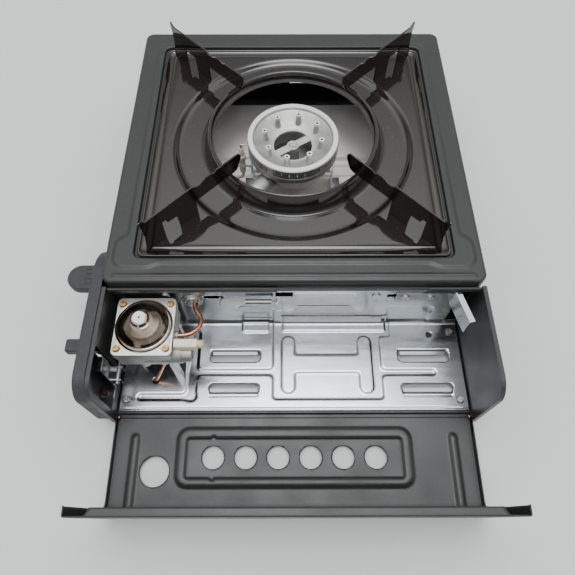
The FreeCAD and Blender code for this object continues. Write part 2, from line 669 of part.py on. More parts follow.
def control_panel():
    shell = prism_yz(panel_outline(0), PANEL_OUT, PANEL_IN)
    shell = shell.makeFillet(1.6, [e for e in shell.Edges if e.BoundBox.XMax < PANEL_OUT + 0.1])
    hollow = prism_yz(panel_outline(2), PANEL_OUT + 2, PANEL_IN + 1)
    stem_hole = rod(4.5, (PANEL_OUT - 1, KNOB_Y, KNOB_Z), (PANEL_IN + 2, KNOB_Y, KNOB_Z))
    slot = box(PANEL_OUT - 1, PANEL_OUT + 3, LEVER_Y - 2.2, LEVER_Y + 2.2, 26, 56)
    skirt = rod(7.0, (PANEL_OUT, KNOB_Y, KNOB_Z), (PANEL_IN + 0.5, KNOB_Y, KNOB_Z))
    return cut(union([shell.cut(hollow), skirt]), [stem_hole, slot])


def valve_stem():
    """Stem from the valve to the knob, with the spiral cam that drives the igniter."""
    stem = rod(STEM_R, (-165, KNOB_Y, KNOB_Z), (-104, KNOB_Y, KNOB_Z))
    # Turning the knob by 100 degrees lifts the plunger 5 mm, so the cam grows 5 mm over 100 degrees.
    points = []
    for angle in range(90, -270, -10):
        radius = 7.2 + 5.0 * min(max(-angle / 100.0, 0.0), 1.0)
        turn = math.radians(angle + CAM_LINE)
        points.append((KNOB_Y + radius * math.cos(turn), KNOB_Z + radius * math.sin(turn)))
    cam = prism_yz(points, -124.5, -118.6)
    return union([stem, cam])


CAM_LINE = 22.0             # direction from the stem to the plunger's nose, above the +Y axis


def control_knob():
    """Round base with a flat paddle grip, hollow where the stem enters."""
    y, z = KNOB_Y, KNOB_Z
    base = rod(14.5, (-147.5, y, z), (PANEL_OUT - 0.5, y, z))
    base = base.makeFillet(1.2, [e for e in base.Edges if e.BoundBox.XMax < -147.4])
    half = 10.5
    outline = [(-147.4, y - half), (-161.5, y - half)]
    outline += [(-161.5 + u, y + v) for u, v in arc_points(0, 0, half, -90, -270, 20)][1:-1]
    outline += [(-161.5, y + half), (-147.4, y + half)]
    grip = plate([(px, py, z - 4) for px, py in outline], (0, 0, 1), 8)
    grip = grip.makeFillet(1.5, [e for e in grip.Edges if e.Length > 0.5 and e.BoundBox.ZLength < 0.1
                                 and e.BoundBox.XMax < -147.5])
    knob = union([base, grip])
    for i in (-6, -2, 2, 6):
        for low in (z + 3.6, z - 4.2):
            knob = knob.cut(box(-158, -148, y + i - 0.5, y + i + 0.5, low, low + 0.6))
    return knob.cut(rod(STEM_R, (-165, y, z), (-143, y, z)))


# ---------------------------------------------------------------- lock lever and slide

def lever_shaft():
    return rod(SHAFT_R, (SHAFT_X, -190.5, SHAFT_Z), (SHAFT_X, BAR_Y + 0.2, SHAFT_Z))


def lever_bracket():
    """Zinc block on the left end plate's ledge, with two lugs that carry the lever shaft's front end."""
    left = -138.0
    right = -131.6
    front = -189.0
    back = -178.6
    face = box(right - 1, right, front, back, LEDGE_Z, 55)
    lugs = [box(right - 1, -124, y, y + 1, SHAFT_Z - 4, SHAFT_Z + 4) for y in (front, back - 1)]
    side = box(left, right, back - 1, back, LEDGE_Z, 55)
    roof = box(left, right, front, back, 54, 55)
    foot = box(-141, right, -197.5, back, LEDGE_Z, LEDGE_Z + 1)
    bore = rod(SHAFT_R + RUN, (SHAFT_X, -195, SHAFT_Z), (SHAFT_X, -175, SHAFT_Z))
    hole = rod(1.5, (*BRACKET_SCREW, 0), (*BRACKET_SCREW, 30))
    return cut(union([face, roof, side, foot] + lugs), [bore, hole])


BRACKET_SCREW = (-138.0, -193.4)


def bracket_screw():
    x, y = BRACKET_SCREW
    z = LEDGE_Z + 1
    head = Part.makeCone(2.8, 2.2, 1.6, Vector(x, y, z))
    screw = union([head, rod(1.5, (x, y, LEDGE_Z), (x, y, z + 0.1))])
    for w, d in ((1.9, 0.35), (0.35, 1.9)):
        screw = screw.cut(box(x - w, x + w, y - d, y + d, z + 0.8, z + 2))
    return screw


def lock_lever():
    """Arm on the shaft that reaches out through the control panel to the finger cap."""
    hub = rod(4.0, (SHAFT_X, LEVER_Y - 1.2, SHAFT_Z), (SHAFT_X, LEVER_Y + 1.2, SHAFT_Z))
    low = Vector(SHAFT_X, 0, SHAFT_Z)
    high = Vector(-147.5, 0, 50.5)
    side = (high - low).cross(Vector(0, 1, 0)).normalize() * 2.8
    corners = [low + side, high + side, high - side, low - side]
    arm = plate([(c.x, LEVER_Y - 1.2, c.z) for c in corners], (0, 1, 0), 2.4)
    tongue = box(-156, -145.5, LEVER_Y - 1.2, LEVER_Y + 1.2, 49.5, 53.2)
    bore = rod(SHAFT_R, (SHAFT_X, LEVER_Y - 3, SHAFT_Z), (SHAFT_X, LEVER_Y + 3, SHAFT_Z))
    return union([hub, arm, tongue]).cut(bore)


def lever_cap():
    cap = box(-160, -145, -174.6, -165.0, 48.2, 55.0)
    cap = cap.makeFillet(1.4, [e for e in cap.Edges if e.BoundBox.XMax < -145.1 or e.BoundBox.ZMin > 54.9])
    return cap.cut(lock_lever())


def crank_arm():
    """Arm behind the tray's back wall that pulls the slide bar, with its pin."""
    lean = math.radians(CRANK_REST)
    top_x = SHAFT_X + CRANK * math.sin(lean)
    top_z = SHAFT_Z + CRANK * math.cos(lean)
    y0 = BAR_Y - 2.0
    y1 = BAR_Y - 0.9
    shaft_eye = rod(3.4, (SHAFT_X, y0, SHAFT_Z), (SHAFT_X, y1, SHAFT_Z))
    pin_eye = rod(3.2, (top_x, y0, top_z), (top_x, y1, top_z))
    side = Vector(math.cos(lean), 0, -math.sin(lean)) * 3
    low = Vector(SHAFT_X, y0, SHAFT_Z)
    high = Vector(top_x, y0, top_z)
    corners = [low + side, high + side, high - side, low - side]
    web = plate([tuple(c) for c in corners], (0, 1, 0), y1 - y0)
    pin = rod(1.4, (top_x, y0, top_z), (top_x, BAR_Y + 1.2, top_z))
    bore = rod(SHAFT_R, (SHAFT_X, y0 - 1, SHAFT_Z), (SHAFT_X, y1 + 1, SHAFT_Z))
    return union([shaft_eye, pin_eye, web, pin]).cut(bore)


GUIDE_X = (-94.0, 60.0)
SLIDE_PINS = (81.0, 99.0)


def slide_bar():
    """Long strip behind the back wall that links the crank to the pusher."""
    pin_x = SHAFT_X + CRANK * math.sin(math.radians(CRANK_REST))
    strip = box(pin_x - 3.4, 106, BAR_Y - 0.5, BAR_Y + 0.5, 49.5, 60.5)
    tab = box(-54.8, -53.6, BACK_WALL_Y - 5.0, BAR_Y, 50.8, 54.6)
    slots = [box(pin_x - 1.9, pin_x + 1.9, BAR_Y - 1, BAR_Y + 1, 50.6, 59.4)]
    for x in GUIDE_X:
        slots.append(box(x - 2.4, x + 13.4, BAR_Y - 1, BAR_Y + 1, 52.6, 57.4))
    slots += [rod(1.8, (x, BAR_Y - 1, 55), (x, BAR_Y + 1, 55)) for x in SLIDE_PINS]
    return cut(union([strip, tab]), slots)


def slide_guides():
    """Headed studs on the back wall that carry the slide bar."""
    studs = []
    for x in GUIDE_X:
        stud = rod(2.0, (x, BACK_WALL_Y - 0.8, 55), (x, BAR_Y + 0.9, 55))
        front = rod(3.2, (x, BACK_WALL_Y - 1.0, 55), (x, BACK_WALL_Y, 55))
        spacer = rod(3.2, (x, BACK_WALL_Y + ZINC, 55), (x, BAR_Y - 0.85, 55))
        back = rod(4.0, (x, BAR_Y + 0.85, 55), (x, BAR_Y + 1.9, 55))
        studs.append(union([stud, front, spacer, back]))
    return studs


def pusher_plate():
    """Zinc angle: a strip along the back wall, and a slanting face that presses the cartridge."""
    y = BACK_WALL_Y
    start = y - 3.6
    strip = box(74, PUSH_X + 1, y - 1.6, y - 0.5, 48.5, 61)
    neck = box(PUSH_X - 0.8, PUSH_X + 1.1, start - 1, y - 0.5, 50, 61)
    face = box(PUSH_X - 0.8, PUSH_X + 0.3, start - 24, start, 50, 67)
    lip = box(PUSH_X - 0.8, PUSH_X + 3.2, start - 24, start - 2, 66, 67)
    hole = rod(1.4, (PUSH_X - 2, y - 19, 57), (PUSH_X + 2, y - 19, 57))
    slant = union([face, lip]).cut(hole)
    slant.rotate(Vector(PUSH_X, start, 0), Vector(0, 0, 1), 15)
    holes = [rod(1.8, (x, y - 3, 55), (x, y + 1, 55)) for x in SLIDE_PINS]
    return cut(union([strip, neck, slant]), holes)


def slide_rivets():
    rivets = []
    for x in SLIDE_PINS:
        shank = rod(1.8, (x, BACK_WALL_Y - 1.7, 55), (x, BAR_Y + 0.6, 55))
        front = rod(3.0, (x, BACK_WALL_Y - 2.4, 55), (x, BACK_WALL_Y - 1.6, 55))
        back = rod(3.0, (x, BAR_Y + 0.5, 55), (x, BAR_Y + 1.2, 55))
        rivets.append(union([shank, front, back]))
    return rivets


SPRING_Z = 52.6


def return_spring():
    """Extension spring between the slide bar's tab and a fixed hook, drawn as its outer sleeve."""
    y = BACK_WALL_Y - 3.6
    sleeve = rod(2.0, (-35.5, y, SPRING_Z), (-16.5, y, SPRING_Z))
    sleeve = sleeve.cut(rod(1.2, (-36, y, SPRING_Z), (-16, y, SPRING_Z)))
    ends = [rod(0.4, (-53.6, y, SPRING_Z + 0.6), (-35.3, y, SPRING_Z + 1.6)),
            rod(0.4, (-16.7, y, SPRING_Z + 1.6), (-13.6, y, SPRING_Z + 0.6))]
    return union([sleeve] + ends)


def spring_hook():
    y = BACK_WALL_Y
    hook = box(-13.6, -12.4, y - 5.0, y, SPRING_Z - 1.4, SPRING_Z + 1.4)
    return union([hook, box(-13.6, -6, y - 0.9, y, 50.0, 54.6)])


# ---------------------------------------------------------------- cover

def opened(shape):
    shape.rotate(Vector(0, HINGE_Y, HINGE_Z), Vector(1, 0, 0), COVER_OPEN)
    return shape


def cartridge_cover():
    """Closed, it is the front wall and the lid in one sheet, with rims at its sides and free edge."""
    front = HINGE_Y - COVER_FRONT
    top = HINGE_Z + COVER_TOP
    back = HINGE_Y + COVER_BACK
    bend = arc_points(front + COVER_BEND, top - COVER_BEND, COVER_BEND, 180, 90, 14)
    path = [(front, HINGE_Z)] + bend + [(back, top)]
    rim = 6.0
    sheet = prism_yz(sheet_outline(path, -SHEET), -COVER_HALF_X, COVER_HALF_X)
    side = prism_yz(sheet_outline(path, -rim), 0, SHEET)
    lug = rod(3.0, (0, HINGE_Y, HINGE_Z), (SHEET, HINGE_Y, HINGE_Z))
    web = box(0, SHEET, front, HINGE_Y + 3.0, HINGE_Z, HINGE_Z + 12)
    ear = union([side, lug, web]).cut(rod(PIN_R + 0.08, (-1, HINGE_Y, HINGE_Z), (3, HINGE_Y, HINGE_Z)))
    sides = [ear.translated(Vector(x, 0, 0)) for x in (-COVER_HALF_X, COVER_HALF_X - SHEET)]
    edge = box(-119, 119, back - SHEET, back, top - 5.4, top - 0.2)
    cover = union([sheet, edge] + sides)
    holes = [(-59.0 + 23.6 * i, 28.5, 8.0) for i in range(6)] + [(-100.5, 38.0, 10.5)]
    tools = [rod(r, (x, front - 2, HINGE_Z + s), (x, front + 4, HINGE_Z + s)) for x, s, r in holes]
    return opened(cut(cover, tools))


# ---------------------------------------------------------------- drip tray and pan supports

def drip_tray():
    """Enamelled square tray with a round step and a raised collar round the burner hole."""
    half_x = OPEN_X - TRAY_GAP
    half_y = OPEN_Y - TRAY_GAP
    low = TRAY_Z - SHEET
    square = rounded_box(half_x, half_y, low, TRAY_Z, 5, OPEN_CY)
    rim = rounded_box(half_x, half_y, low, TOP_Z, 5, OPEN_CY)
    rim = rim.cut(rounded_box(half_x - 2.2, half_y - 2.2, low - 1, TOP_Z + 1, 4, OPEN_CY))
    square = square.cut(Part.makeCylinder(STEP_R, 4, Vector(0, 0, low - 1)))
    sunk = TRAY_Z - 3
    crest = COLLAR_Z
    top = [(STEP_R + 1, TRAY_Z), (STEP_R, TRAY_Z), (STEP_R - 5, sunk), (COLLAR_R + 7, sunk)]
    top += [(COLLAR_R + 1.6, crest - 1.6), (COLLAR_R, crest), (COLLAR_R - 1.4, crest)]
    top += [(COLLAR_R - 2.6, crest - 1.6), (COLLAR_R - 2.8, crest - 9.5)]
    dish = revolve(sheet_outline(top, SHEET))
    return union([square, rim, dish])


def pan_support():
    """One blade, as (radius, z) from the burner's axis, on two feet."""
    foot = TRAY_Z
    arm = foot + 13.2
    work = foot + 28.7
    outline = [(150, foot), (148.4, foot + 5), (147, foot + 14), (147.2, foot + 22), (148.4, foot + 31.5)]
    outline += [(146.8, foot + 31.5), (143.6, work), (102, work), (97.6, work - 2.4), (94.4, work - 2.4)]
    outline += [(89, work), (84.8, work), (81.6, work - 1.8), (78.6, work), (58, work), (55.8, work - 2.4)]
    outline += [(56, work - 6), (60.4, arm + 1.2), (63.5, arm), (101.2, arm), (101.2, foot), (118.4, foot)]
    outline += [(119, arm - 1), (127.4, arm - 0.4), (128.6, arm + 3.4), (131.4, arm + 3.2), (131.8, foot)]
    return plate([(r, -0.6, z) for r, z in outline], (0, 1, 0), 1.2)


def pan_supports():
    names = ("right_back", "left_back", "left_front", "right_front")
    for i, name in enumerate(names):
        blade = pan_support()
        blade.rotate(Vector(0, 0, 0), Vector(0, 0, 1), 45 + 90 * i)
        save("pan_support_" + name, [blade])


def main():
    os.makedirs("parts", exist_ok=True)
    save("base_pan", [base_pan()])
    save("rubber_feet", rubber_feet())
    save("top_plate", [top_plate()])
    save("front_rail", front_rail())
    save("left_end_plate", [end_plate(-1)])
    save("right_end_plate", [end_plate(1)])
    save("hinge_pins", hinge_pins())
    save("cartridge_tray", [cartridge_tray()])
    save("floor_screws", floor_screws())
    save("heat_shield", [heat_shield()])
    save("burner_bowl", [burner_bowl()])
    save("burner_cap", [burner_cap()])
    save("burner_screw", [burner_screw()])
    save("mixing_tube", [mixing_tube()])
    save("burner_bracket", [burner_bracket()])
    save("electrode_ceramic", [electrode_ceramic()])
    save("electrode_pin", [electrode_pin()])
    save("electrode_bracket", [electrode_bracket()])
    save("ignition_wire", [ignition_wire()])
    save("piezo_igniter", [piezo_igniter()])
    save("igniter_plunger", [igniter_plunger()])
    save("igniter_clip", [igniter_clip()])
    save("valve_body", [valve_body()])
    save("valve_bracket", [valve_bracket()])
    save("gas_jet", [gas_jet()])
    save("governor_body", [governor_body()])
    save("governor_cover", [governor_cover()])
    save("governor_diaphragm", [governor_diaphragm()])
    save("governor_spring", [governor_spring()])
    save("governor_screws", governor_screws())
    save("governor_standoffs", governor_standoffs())
    save("inlet_port", [inlet_port()])
    save("port_seal", [port_seal()])
    save("locating_tab", [locating_tab()])
    save("tab_end", [tab_end()])
    save("relief_tube", [relief_tube()])
    save("copper_tube", [copper_tube()])
    save("tube_grommet", [tube_grommet()])
    save("control_panel", [control_panel()])
    save("valve_stem", [valve_stem()])
    save("control_knob", [control_knob()])
    save("lever_shaft", [lever_shaft()])
    save("lever_bracket", [lever_bracket()])
    save("bracket_screw", [bracket_screw()])
    save("lock_lever", [lock_lever()])
    save("lever_cap", [lever_cap()])
    save("crank_arm", [crank_arm()])
    save("slide_bar", [slide_bar()])
    save("slide_guides", slide_guides())
    save("pusher_plate", [pusher_plate()])
    save("slide_rivets", slide_rivets())
    save("return_spring", [return_spring()])
    save("spring_hook", [spring_hook()])
    save("cartridge_cover", [cartridge_cover()])
    save("drip_tray", [drip_tray()])
    pan_supports()


main()
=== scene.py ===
"""Looks of the camping stove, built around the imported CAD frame.

Blender works in metres. The sheet-metal pieces are drawn in millimetres, and build() scales them by MM.
Frame: the origin is on the table under the burner, +Z up, the cartridge compartment towards -Y.
"""
import json
import math

import bpy
import numpy as np
from mathutils import Matrix, Vector


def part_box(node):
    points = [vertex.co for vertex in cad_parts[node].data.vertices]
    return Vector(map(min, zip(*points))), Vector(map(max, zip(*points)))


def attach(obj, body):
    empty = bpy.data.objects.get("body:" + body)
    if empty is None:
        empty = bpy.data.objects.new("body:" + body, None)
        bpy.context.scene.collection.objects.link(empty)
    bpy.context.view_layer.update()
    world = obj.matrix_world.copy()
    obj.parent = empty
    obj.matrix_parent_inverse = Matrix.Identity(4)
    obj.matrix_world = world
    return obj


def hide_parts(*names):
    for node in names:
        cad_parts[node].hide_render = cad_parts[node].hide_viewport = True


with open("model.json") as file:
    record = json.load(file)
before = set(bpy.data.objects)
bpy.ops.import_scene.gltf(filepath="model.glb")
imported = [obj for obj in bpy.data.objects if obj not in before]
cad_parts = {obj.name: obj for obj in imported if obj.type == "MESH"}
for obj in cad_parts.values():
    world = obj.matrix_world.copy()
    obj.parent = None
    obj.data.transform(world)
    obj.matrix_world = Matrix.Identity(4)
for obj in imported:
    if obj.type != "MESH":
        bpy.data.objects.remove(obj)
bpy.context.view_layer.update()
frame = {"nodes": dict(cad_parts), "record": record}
nodes = frame["nodes"]
MM = 0.001


def span(node):
    """Lowest and highest corner of a CAD node, in millimetres."""
    low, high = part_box(node)
    return np.array(low) / MM, np.array(high) / MM


# ---------------------------------------------------------------- materials

def new_material(name, color, roughness, metallic=0.0):
    """Principled material; returns the material, its shader node and its node tree."""
    material = bpy.data.materials.new(name)
    material.use_nodes = True
    tree = material.node_tree
    shader = tree.nodes["Principled BSDF"]
    shader.inputs["Base Color"].default_value = (*color, 1)
    shader.inputs["Roughness"].default_value = roughness
    shader.inputs["Metallic"].default_value = metallic
    return material, shader, tree


def noise(tree, scale, detail=3.0, stretch=(1, 1, 1), rough=0.5):
    """Noise texture in the part's own coordinates; scale is in features per metre."""
    place = tree.nodes.new("ShaderNodeTexCoord")
    mapping = tree.nodes.new("ShaderNodeMapping")
    mapping.inputs["Scale"].default_value = stretch
    texture = tree.nodes.new("ShaderNodeTexNoise")
    texture.inputs["Scale"].default_value = scale
    texture.inputs["Detail"].default_value = detail
    texture.inputs["Roughness"].default_value = rough
    tree.links.new(place.outputs["Object"], mapping.inputs["Vector"])
    tree.links.new(mapping.outputs["Vector"], texture.inputs["Vector"])
    return texture.outputs["Fac"]


def spread(tree, source, low, high, start=0.3, end=0.7):
    """Maps a texture's value to a range of numbers."""
    remap = tree.nodes.new("ShaderNodeMapRange")
    remap.inputs["From Min"].default_value = start
    remap.inputs["From Max"].default_value = end
    remap.inputs["To Min"].default_value = low
    remap.inputs["To Max"].default_value = high
    tree.links.new(source, remap.inputs["Value"])
    return remap.outputs["Result"]


def mixed(tree, factor, first, second):
    """Colour between two colours, by a texture's value; a colour may also be another node's output."""
    mix = tree.nodes.new("ShaderNodeMix")
    mix.data_type = "RGBA"
    tree.links.new(factor, mix.inputs["Factor"])
    for socket, color in (("A", first), ("B", second)):
        target = [s for s in mix.inputs if s.name == socket and s.type == "RGBA"][0]
        if isinstance(color, bpy.types.NodeSocket):
            tree.links.new(color, target)
        else:
            target.default_value = (*color, 1)
    return [s for s in mix.outputs if s.type == "RGBA"][0]


def clouded(tree, shader, scale, first, second, detail=4):
    """Base colour that drifts between two colours."""
    cloud = mixed(tree, spread(tree, noise(tree, scale, detail), 0, 1), first, second)
    tree.links.new(cloud, shader.inputs["Base Color"])


def uneven_gloss(tree, shader, scale, low, high):
    """Roughness that drifts between two values."""
    tree.links.new(spread(tree, noise(tree, scale, 3), low, high), shader.inputs["Roughness"])


def bump(tree, shader, relief, strength, distance, before=None):
    """Fine relief from a texture; before is an earlier relief that it adds to."""
    node = tree.nodes.new("ShaderNodeBump")
    node.inputs["Strength"].default_value = strength
    node.inputs["Distance"].default_value = distance
    tree.links.new(relief, node.inputs["Height"])
    if before:
        tree.links.new(before, node.inputs["Normal"])
    tree.links.new(node.outputs["Normal"], shader.inputs["Normal"])
    return node.outputs["Normal"]


def painted_steel(name, dark, light, roughness):
    """Satin black paint with a fine orange-peel skin."""
    material, shader, tree = new_material(name, dark, roughness)
    clouded(tree, shader, 420, dark, light, 5)
    uneven_gloss(tree, shader, 35, roughness - 0.06, roughness + 0.07)
    bump(tree, shader, noise(tree, 1900, 2), 0.16, 0.0002)
    return material


def enamel(name):
    """Glossy brown-black vitreous enamel with faint waves and dust specks."""
    dark = (0.0065, 0.004, 0.0034)
    brown = (0.011, 0.0062, 0.005)
    dust = (0.10, 0.095, 0.085)
    material, shader, tree = new_material(name, dark, 0.07)
    shader.inputs["Coat Weight"].default_value = 0.5
    shader.inputs["Coat Roughness"].default_value = 0.04
    cloud = mixed(tree, spread(tree, noise(tree, 30, 3), 0, 1), dark, brown)
    specks = spread(tree, noise(tree, 800, 1), 0, 1, 0.74, 0.8)
    tree.links.new(mixed(tree, specks, cloud, dust), shader.inputs["Base Color"])
    tree.links.new(spread(tree, noise(tree, 120, 4), 0.05, 0.12), shader.inputs["Roughness"])
    waves = bump(tree, shader, noise(tree, 45, 2), 0.12, 0.0008)
    bump(tree, shader, noise(tree, 600, 2), 0.05, 0.0002, waves)
    return material


def galvanised(name):
    """Bright galvanised sheet: rolling streaks along X and a faint crystal spangle."""
    tint = (0.50, 0.52, 0.545)
    roughness = 0.19
    material, shader, tree = new_material(name, tint, roughness, 1.0)
    spangle = tree.nodes.new("ShaderNodeTexVoronoi")
    spangle.inputs["Scale"].default_value = 190
    place = tree.nodes.new("ShaderNodeTexCoord")
    tree.links.new(place.outputs["Object"], spangle.inputs["Vector"])
    grain = tree.nodes.new("ShaderNodeRGBToBW")
    tree.links.new(spangle.outputs["Color"], grain.inputs["Color"])
    darker = tuple(0.86 * c for c in tint)
    warmer = (tint[0] * 1.02, tint[1] * 0.99, tint[2] * 0.95)
    crystals = mixed(tree, spread(tree, grain.outputs["Val"], 0, 0.5, 0, 1), tint, darker)
    stain = spread(tree, noise(tree, 22, 5), 0, 0.6, 0.45, 0.65)
    tree.links.new(mixed(tree, stain, crystals, warmer), shader.inputs["Base Color"])
    streaks = noise(tree, 60, 4, (0.5, 5, 5), 0.5)
    tree.links.new(spread(tree, streaks, roughness - 0.03, roughness + 0.05), shader.inputs["Roughness"])
    long_waves = bump(tree, shader, noise(tree, 16, 2), 0.16, 0.002)
    bump(tree, shader, streaks, 0.015, 0.0003, long_waves)
    return material


def heat_plate(name):
    """Dull heat-tinted sheet under the burner, with a pale base colour that paints in the reflection of the
    sky seen through the burner's hole.
    """
    # very pale base colour: painted reflection of the bright sky through the burner's hole
    color = (0.90, 0.84, 0.80)
    material, shader, tree = new_material(name, color, 0.34)
    darker = (0.80, 0.74, 0.70)
    clouded(tree, shader, 40, color, darker)
    uneven_gloss(tree, shader, 90, 0.30, 0.45)
    bump(tree, shader, noise(tree, 60, 3), 0.08, 0.0006)
    return material


def metal(name, color, roughness, grain=700, depth=0.08, tint=None):
    """Plain metal with a fine grain, small colour changes and slightly uneven gloss."""
    material, shader, tree = new_material(name, color, roughness, 1.0)
    clouded(tree, shader, 150, color, tint or tuple(0.82 * c for c in color))
    uneven_gloss(tree, shader, 260, roughness - 0.05, roughness + 0.08)
    bump(tree, shader, noise(tree, grain, 3), depth, 0.0002)
    return material


def above(tree, low, high):
    """0 below the height low, in metres, and 1 above the height high."""
    place = tree.nodes.new("ShaderNodeTexCoord")
    split = tree.nodes.new("ShaderNodeSeparateXYZ")
    tree.links.new(place.outputs["Object"], split.inputs["Vector"])
    return spread(tree, split.outputs["Z"], 0, 1, low, high)


def cast_metal(name, machined_from):
    """Fine sand-cast aluminium, grainy and part matt, with paler machined faces above a height."""
    color = (0.56, 0.55, 0.53)
    darker = (0.42, 0.41, 0.39)
    bright = (0.80, 0.785, 0.75)
    material, shader, tree = new_material(name, color, 0.46, 0.85)
    cloud = mixed(tree, spread(tree, noise(tree, 130, 5), 0, 1), color, darker)
    machined = above(tree, machined_from - 0.3 * MM, machined_from)
    tree.links.new(mixed(tree, machined, cloud, bright), shader.inputs["Base Color"])
    uneven_gloss(tree, shader, 500, 0.38, 0.58)
    coarse = bump(tree, shader, noise(tree, 900, 4), 0.22, 0.0003)
    bump(tree, shader, noise(tree, 3200, 2), 0.2, 0.0001, coarse)
    return material


def polished_dome(name, dome_foot):
    """Pressed steel: a polished dome, from the height dome_foot up, coloured in browns as a painted
    reflection of its surroundings, on a paler satin flange.
    """
    flange = (0.74, 0.72, 0.69)
    # the dome's two browns are a painted reflection of its brown surroundings, not the steel's own colour
    light_brown_reflection = (0.30, 0.255, 0.215)
    dark_brown_reflection = (0.17, 0.125, 0.095)
    satin = 0.3
    polish = 0.16
    blend_height = 0.6 * MM
    dome_from = dome_foot + 0.3 * MM
    button_from = dome_foot + 11.6 * MM
    material, shader, tree = new_material(name, flange, satin, 1.0)
    tint = spread(tree, noise(tree, 55, 3), 0, 1, 0.42, 0.66)
    dome = mixed(tree, tint, light_brown_reflection, dark_brown_reflection)
    button = above(tree, button_from, button_from + blend_height)
    raised = above(tree, dome_from, dome_from + blend_height)
    upper = mixed(tree, button, dome, flange)
    tree.links.new(mixed(tree, raised, flange, upper), shader.inputs["Base Color"])
    tree.links.new(spread(tree, raised, satin, polish, 0, 1), shader.inputs["Roughness"])
    bump(tree, shader, noise(tree, 70, 2), 0.1, 0.0006)
    return material


def plastic(name, color, roughness, grain=1500, strength=0.12, specular=0.5):
    """Moulded plastic with a fine texture."""
    material, shader, tree = new_material(name, color, roughness)
    shader.inputs["Specular IOR Level"].default_value = specular
    clouded(tree, shader, 300, color, tuple(1.25 * c for c in color))
    uneven_gloss(tree, shader, 120, roughness - 0.06, roughness + 0.06)
    bump(tree, shader, noise(tree, grain, 2), strength, 0.0002)
    return material


RIM_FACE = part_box("burner_cap")[1][2] - 1.8 * MM            # the burner cap is machined above this height
DOME_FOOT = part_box("governor_cover")[0][2] + 2.0 * MM       # upper face of the governor cover's flange

MATERIALS = {
    "black_paint": painted_steel("black_paint", (0.019, 0.020, 0.0195), (0.025, 0.026, 0.026), 0.40),
    "brown_enamel": enamel("brown_enamel"),
    "galvanised_steel": galvanised("galvanised_steel"),
    "zinc_fastener": metal("zinc_fastener", (0.66, 0.66, 0.64), 0.24),
    "spring_steel": metal("spring_steel", (0.45, 0.43, 0.41), 0.3),
    "cast_aluminium": cast_metal("cast_aluminium", RIM_FACE),
    "polished_steel": polished_dome("polished_steel", DOME_FOOT),
    "brass_fastener": metal("brass_fastener", (0.72, 0.50, 0.22), 0.22, tint=(0.52, 0.33, 0.12)),
    "copper": metal("copper", (0.66, 0.33, 0.20), 0.27, tint=(0.42, 0.17, 0.09)),
    "dark_plastic": plastic("dark_plastic", (0.031, 0.031, 0.033), 0.5, specular=0.33),
    "cream_plastic": plastic("cream_plastic", (0.66, 0.62, 0.48), 0.42),
    "ceramic": plastic("ceramic", (0.60, 0.56, 0.46), 0.2, 400, 0.05),
    "clear_plastic": plastic("clear_plastic", (0.46, 0.43, 0.20), 0.2, 500, 0.05),
    "heat_plate": heat_plate("heat_plate"),
    "bronze_fastener": metal("bronze_fastener", (0.34, 0.20, 0.15), 0.3, tint=(0.22, 0.13, 0.10)),
    "rubber": plastic("rubber", (0.018, 0.018, 0.018), 0.75, 900, 0.2, 0.3),
    "wire_insulation": plastic("wire_insulation", (0.45, 0.43, 0.38), 0.4),
}

SLOT_OF = {entry["node"]: entry["material_slot"] for entry in frame["record"]["subparts"]}


def dress(node, material, bevel):
    """Gives a CAD node its material and softens its edges; bevel is in millimetres."""
    target = nodes[node]
    target.data.materials.clear()
    target.data.materials.append(material)
    weld = target.modifiers.new("weld", "WELD")
    weld.merge_threshold = 0.005 * MM
    edges = target.modifiers.new("edges", "BEVEL")
    edges.width = bevel * MM
    edges.segments = 2
    edges.limit_method = "ANGLE"
    edges.angle_limit = math.radians(40)
    normals = target.modifiers.new("normals", "WEIGHTED_NORMAL")
    normals.keep_sharp = True


# ---------------------------------------------------------------- mesh tools, in millimetres

def smooth_edge(distance, width):
    """1 where distance is well below 0, 0 well above, with an S-curve of that width between."""
    t = np.clip(0.5 - distance / width, 0, 1)
    return t * t * (3 - 2 * t)


def rounded_rect(x, y, x0, x1, y0, y1, radius):
    """Signed distance to a rounded rectangle, negative inside."""
    dx = np.abs(x - (x0 + x1) / 2) - (x1 - x0) / 2 + radius
    dy = np.abs(y - (y0 + y1) / 2) - (y1 - y0) / 2 + radius
    outside = np.hypot(np.maximum(dx, 0), np.maximum(dy, 0))
    return outside + np.minimum(np.maximum(dx, dy), 0) - radius


def stroke(x, y, points, half_width):
    """Signed distance to a line of that half width through the points."""
    best = np.full(np.shape(x), 1e9)
    for (x0, y0), (x1, y1) in zip(points, points[1:]):
        along = (x - x0) * (x1 - x0) + (y - y0) * (y1 - y0)
        t = np.clip(along / ((x1 - x0) ** 2 + (y1 - y0) ** 2), 0, 1)
        best = np.minimum(best, np.hypot(x - x0 - t * (x1 - x0), y - y0 - t * (y1 - y0)))
    return best - half_width


def join(first, second, fillet=3.0):
    """Union of two signed distances with a rounded inner corner."""
    h = np.clip(0.5 + 0.5 * (second - first) / fillet, 0, 1)
    return second * (1 - h) + first * h - fillet * h * (1 - h)


def arc_path(points, radius, steps=8):
    """2-D path with its inner corners rounded."""
    out = [np.array(points[0], float)]
    for before, here, after in zip(points, points[1:], points[2:]):
        before, here, after = (np.array(p, float) for p in (before, here, after))
        first = here + (before - here) / np.linalg.norm(before - here) * radius
        last = here + (after - here) / np.linalg.norm(after - here) * radius
        for i in range(steps + 1):
            t = i / steps
            out.append((1 - t) ** 2 * first + 2 * t * (1 - t) * here + t * t * last)
    out.append(np.array(points[-1], float))
    return np.array(out)


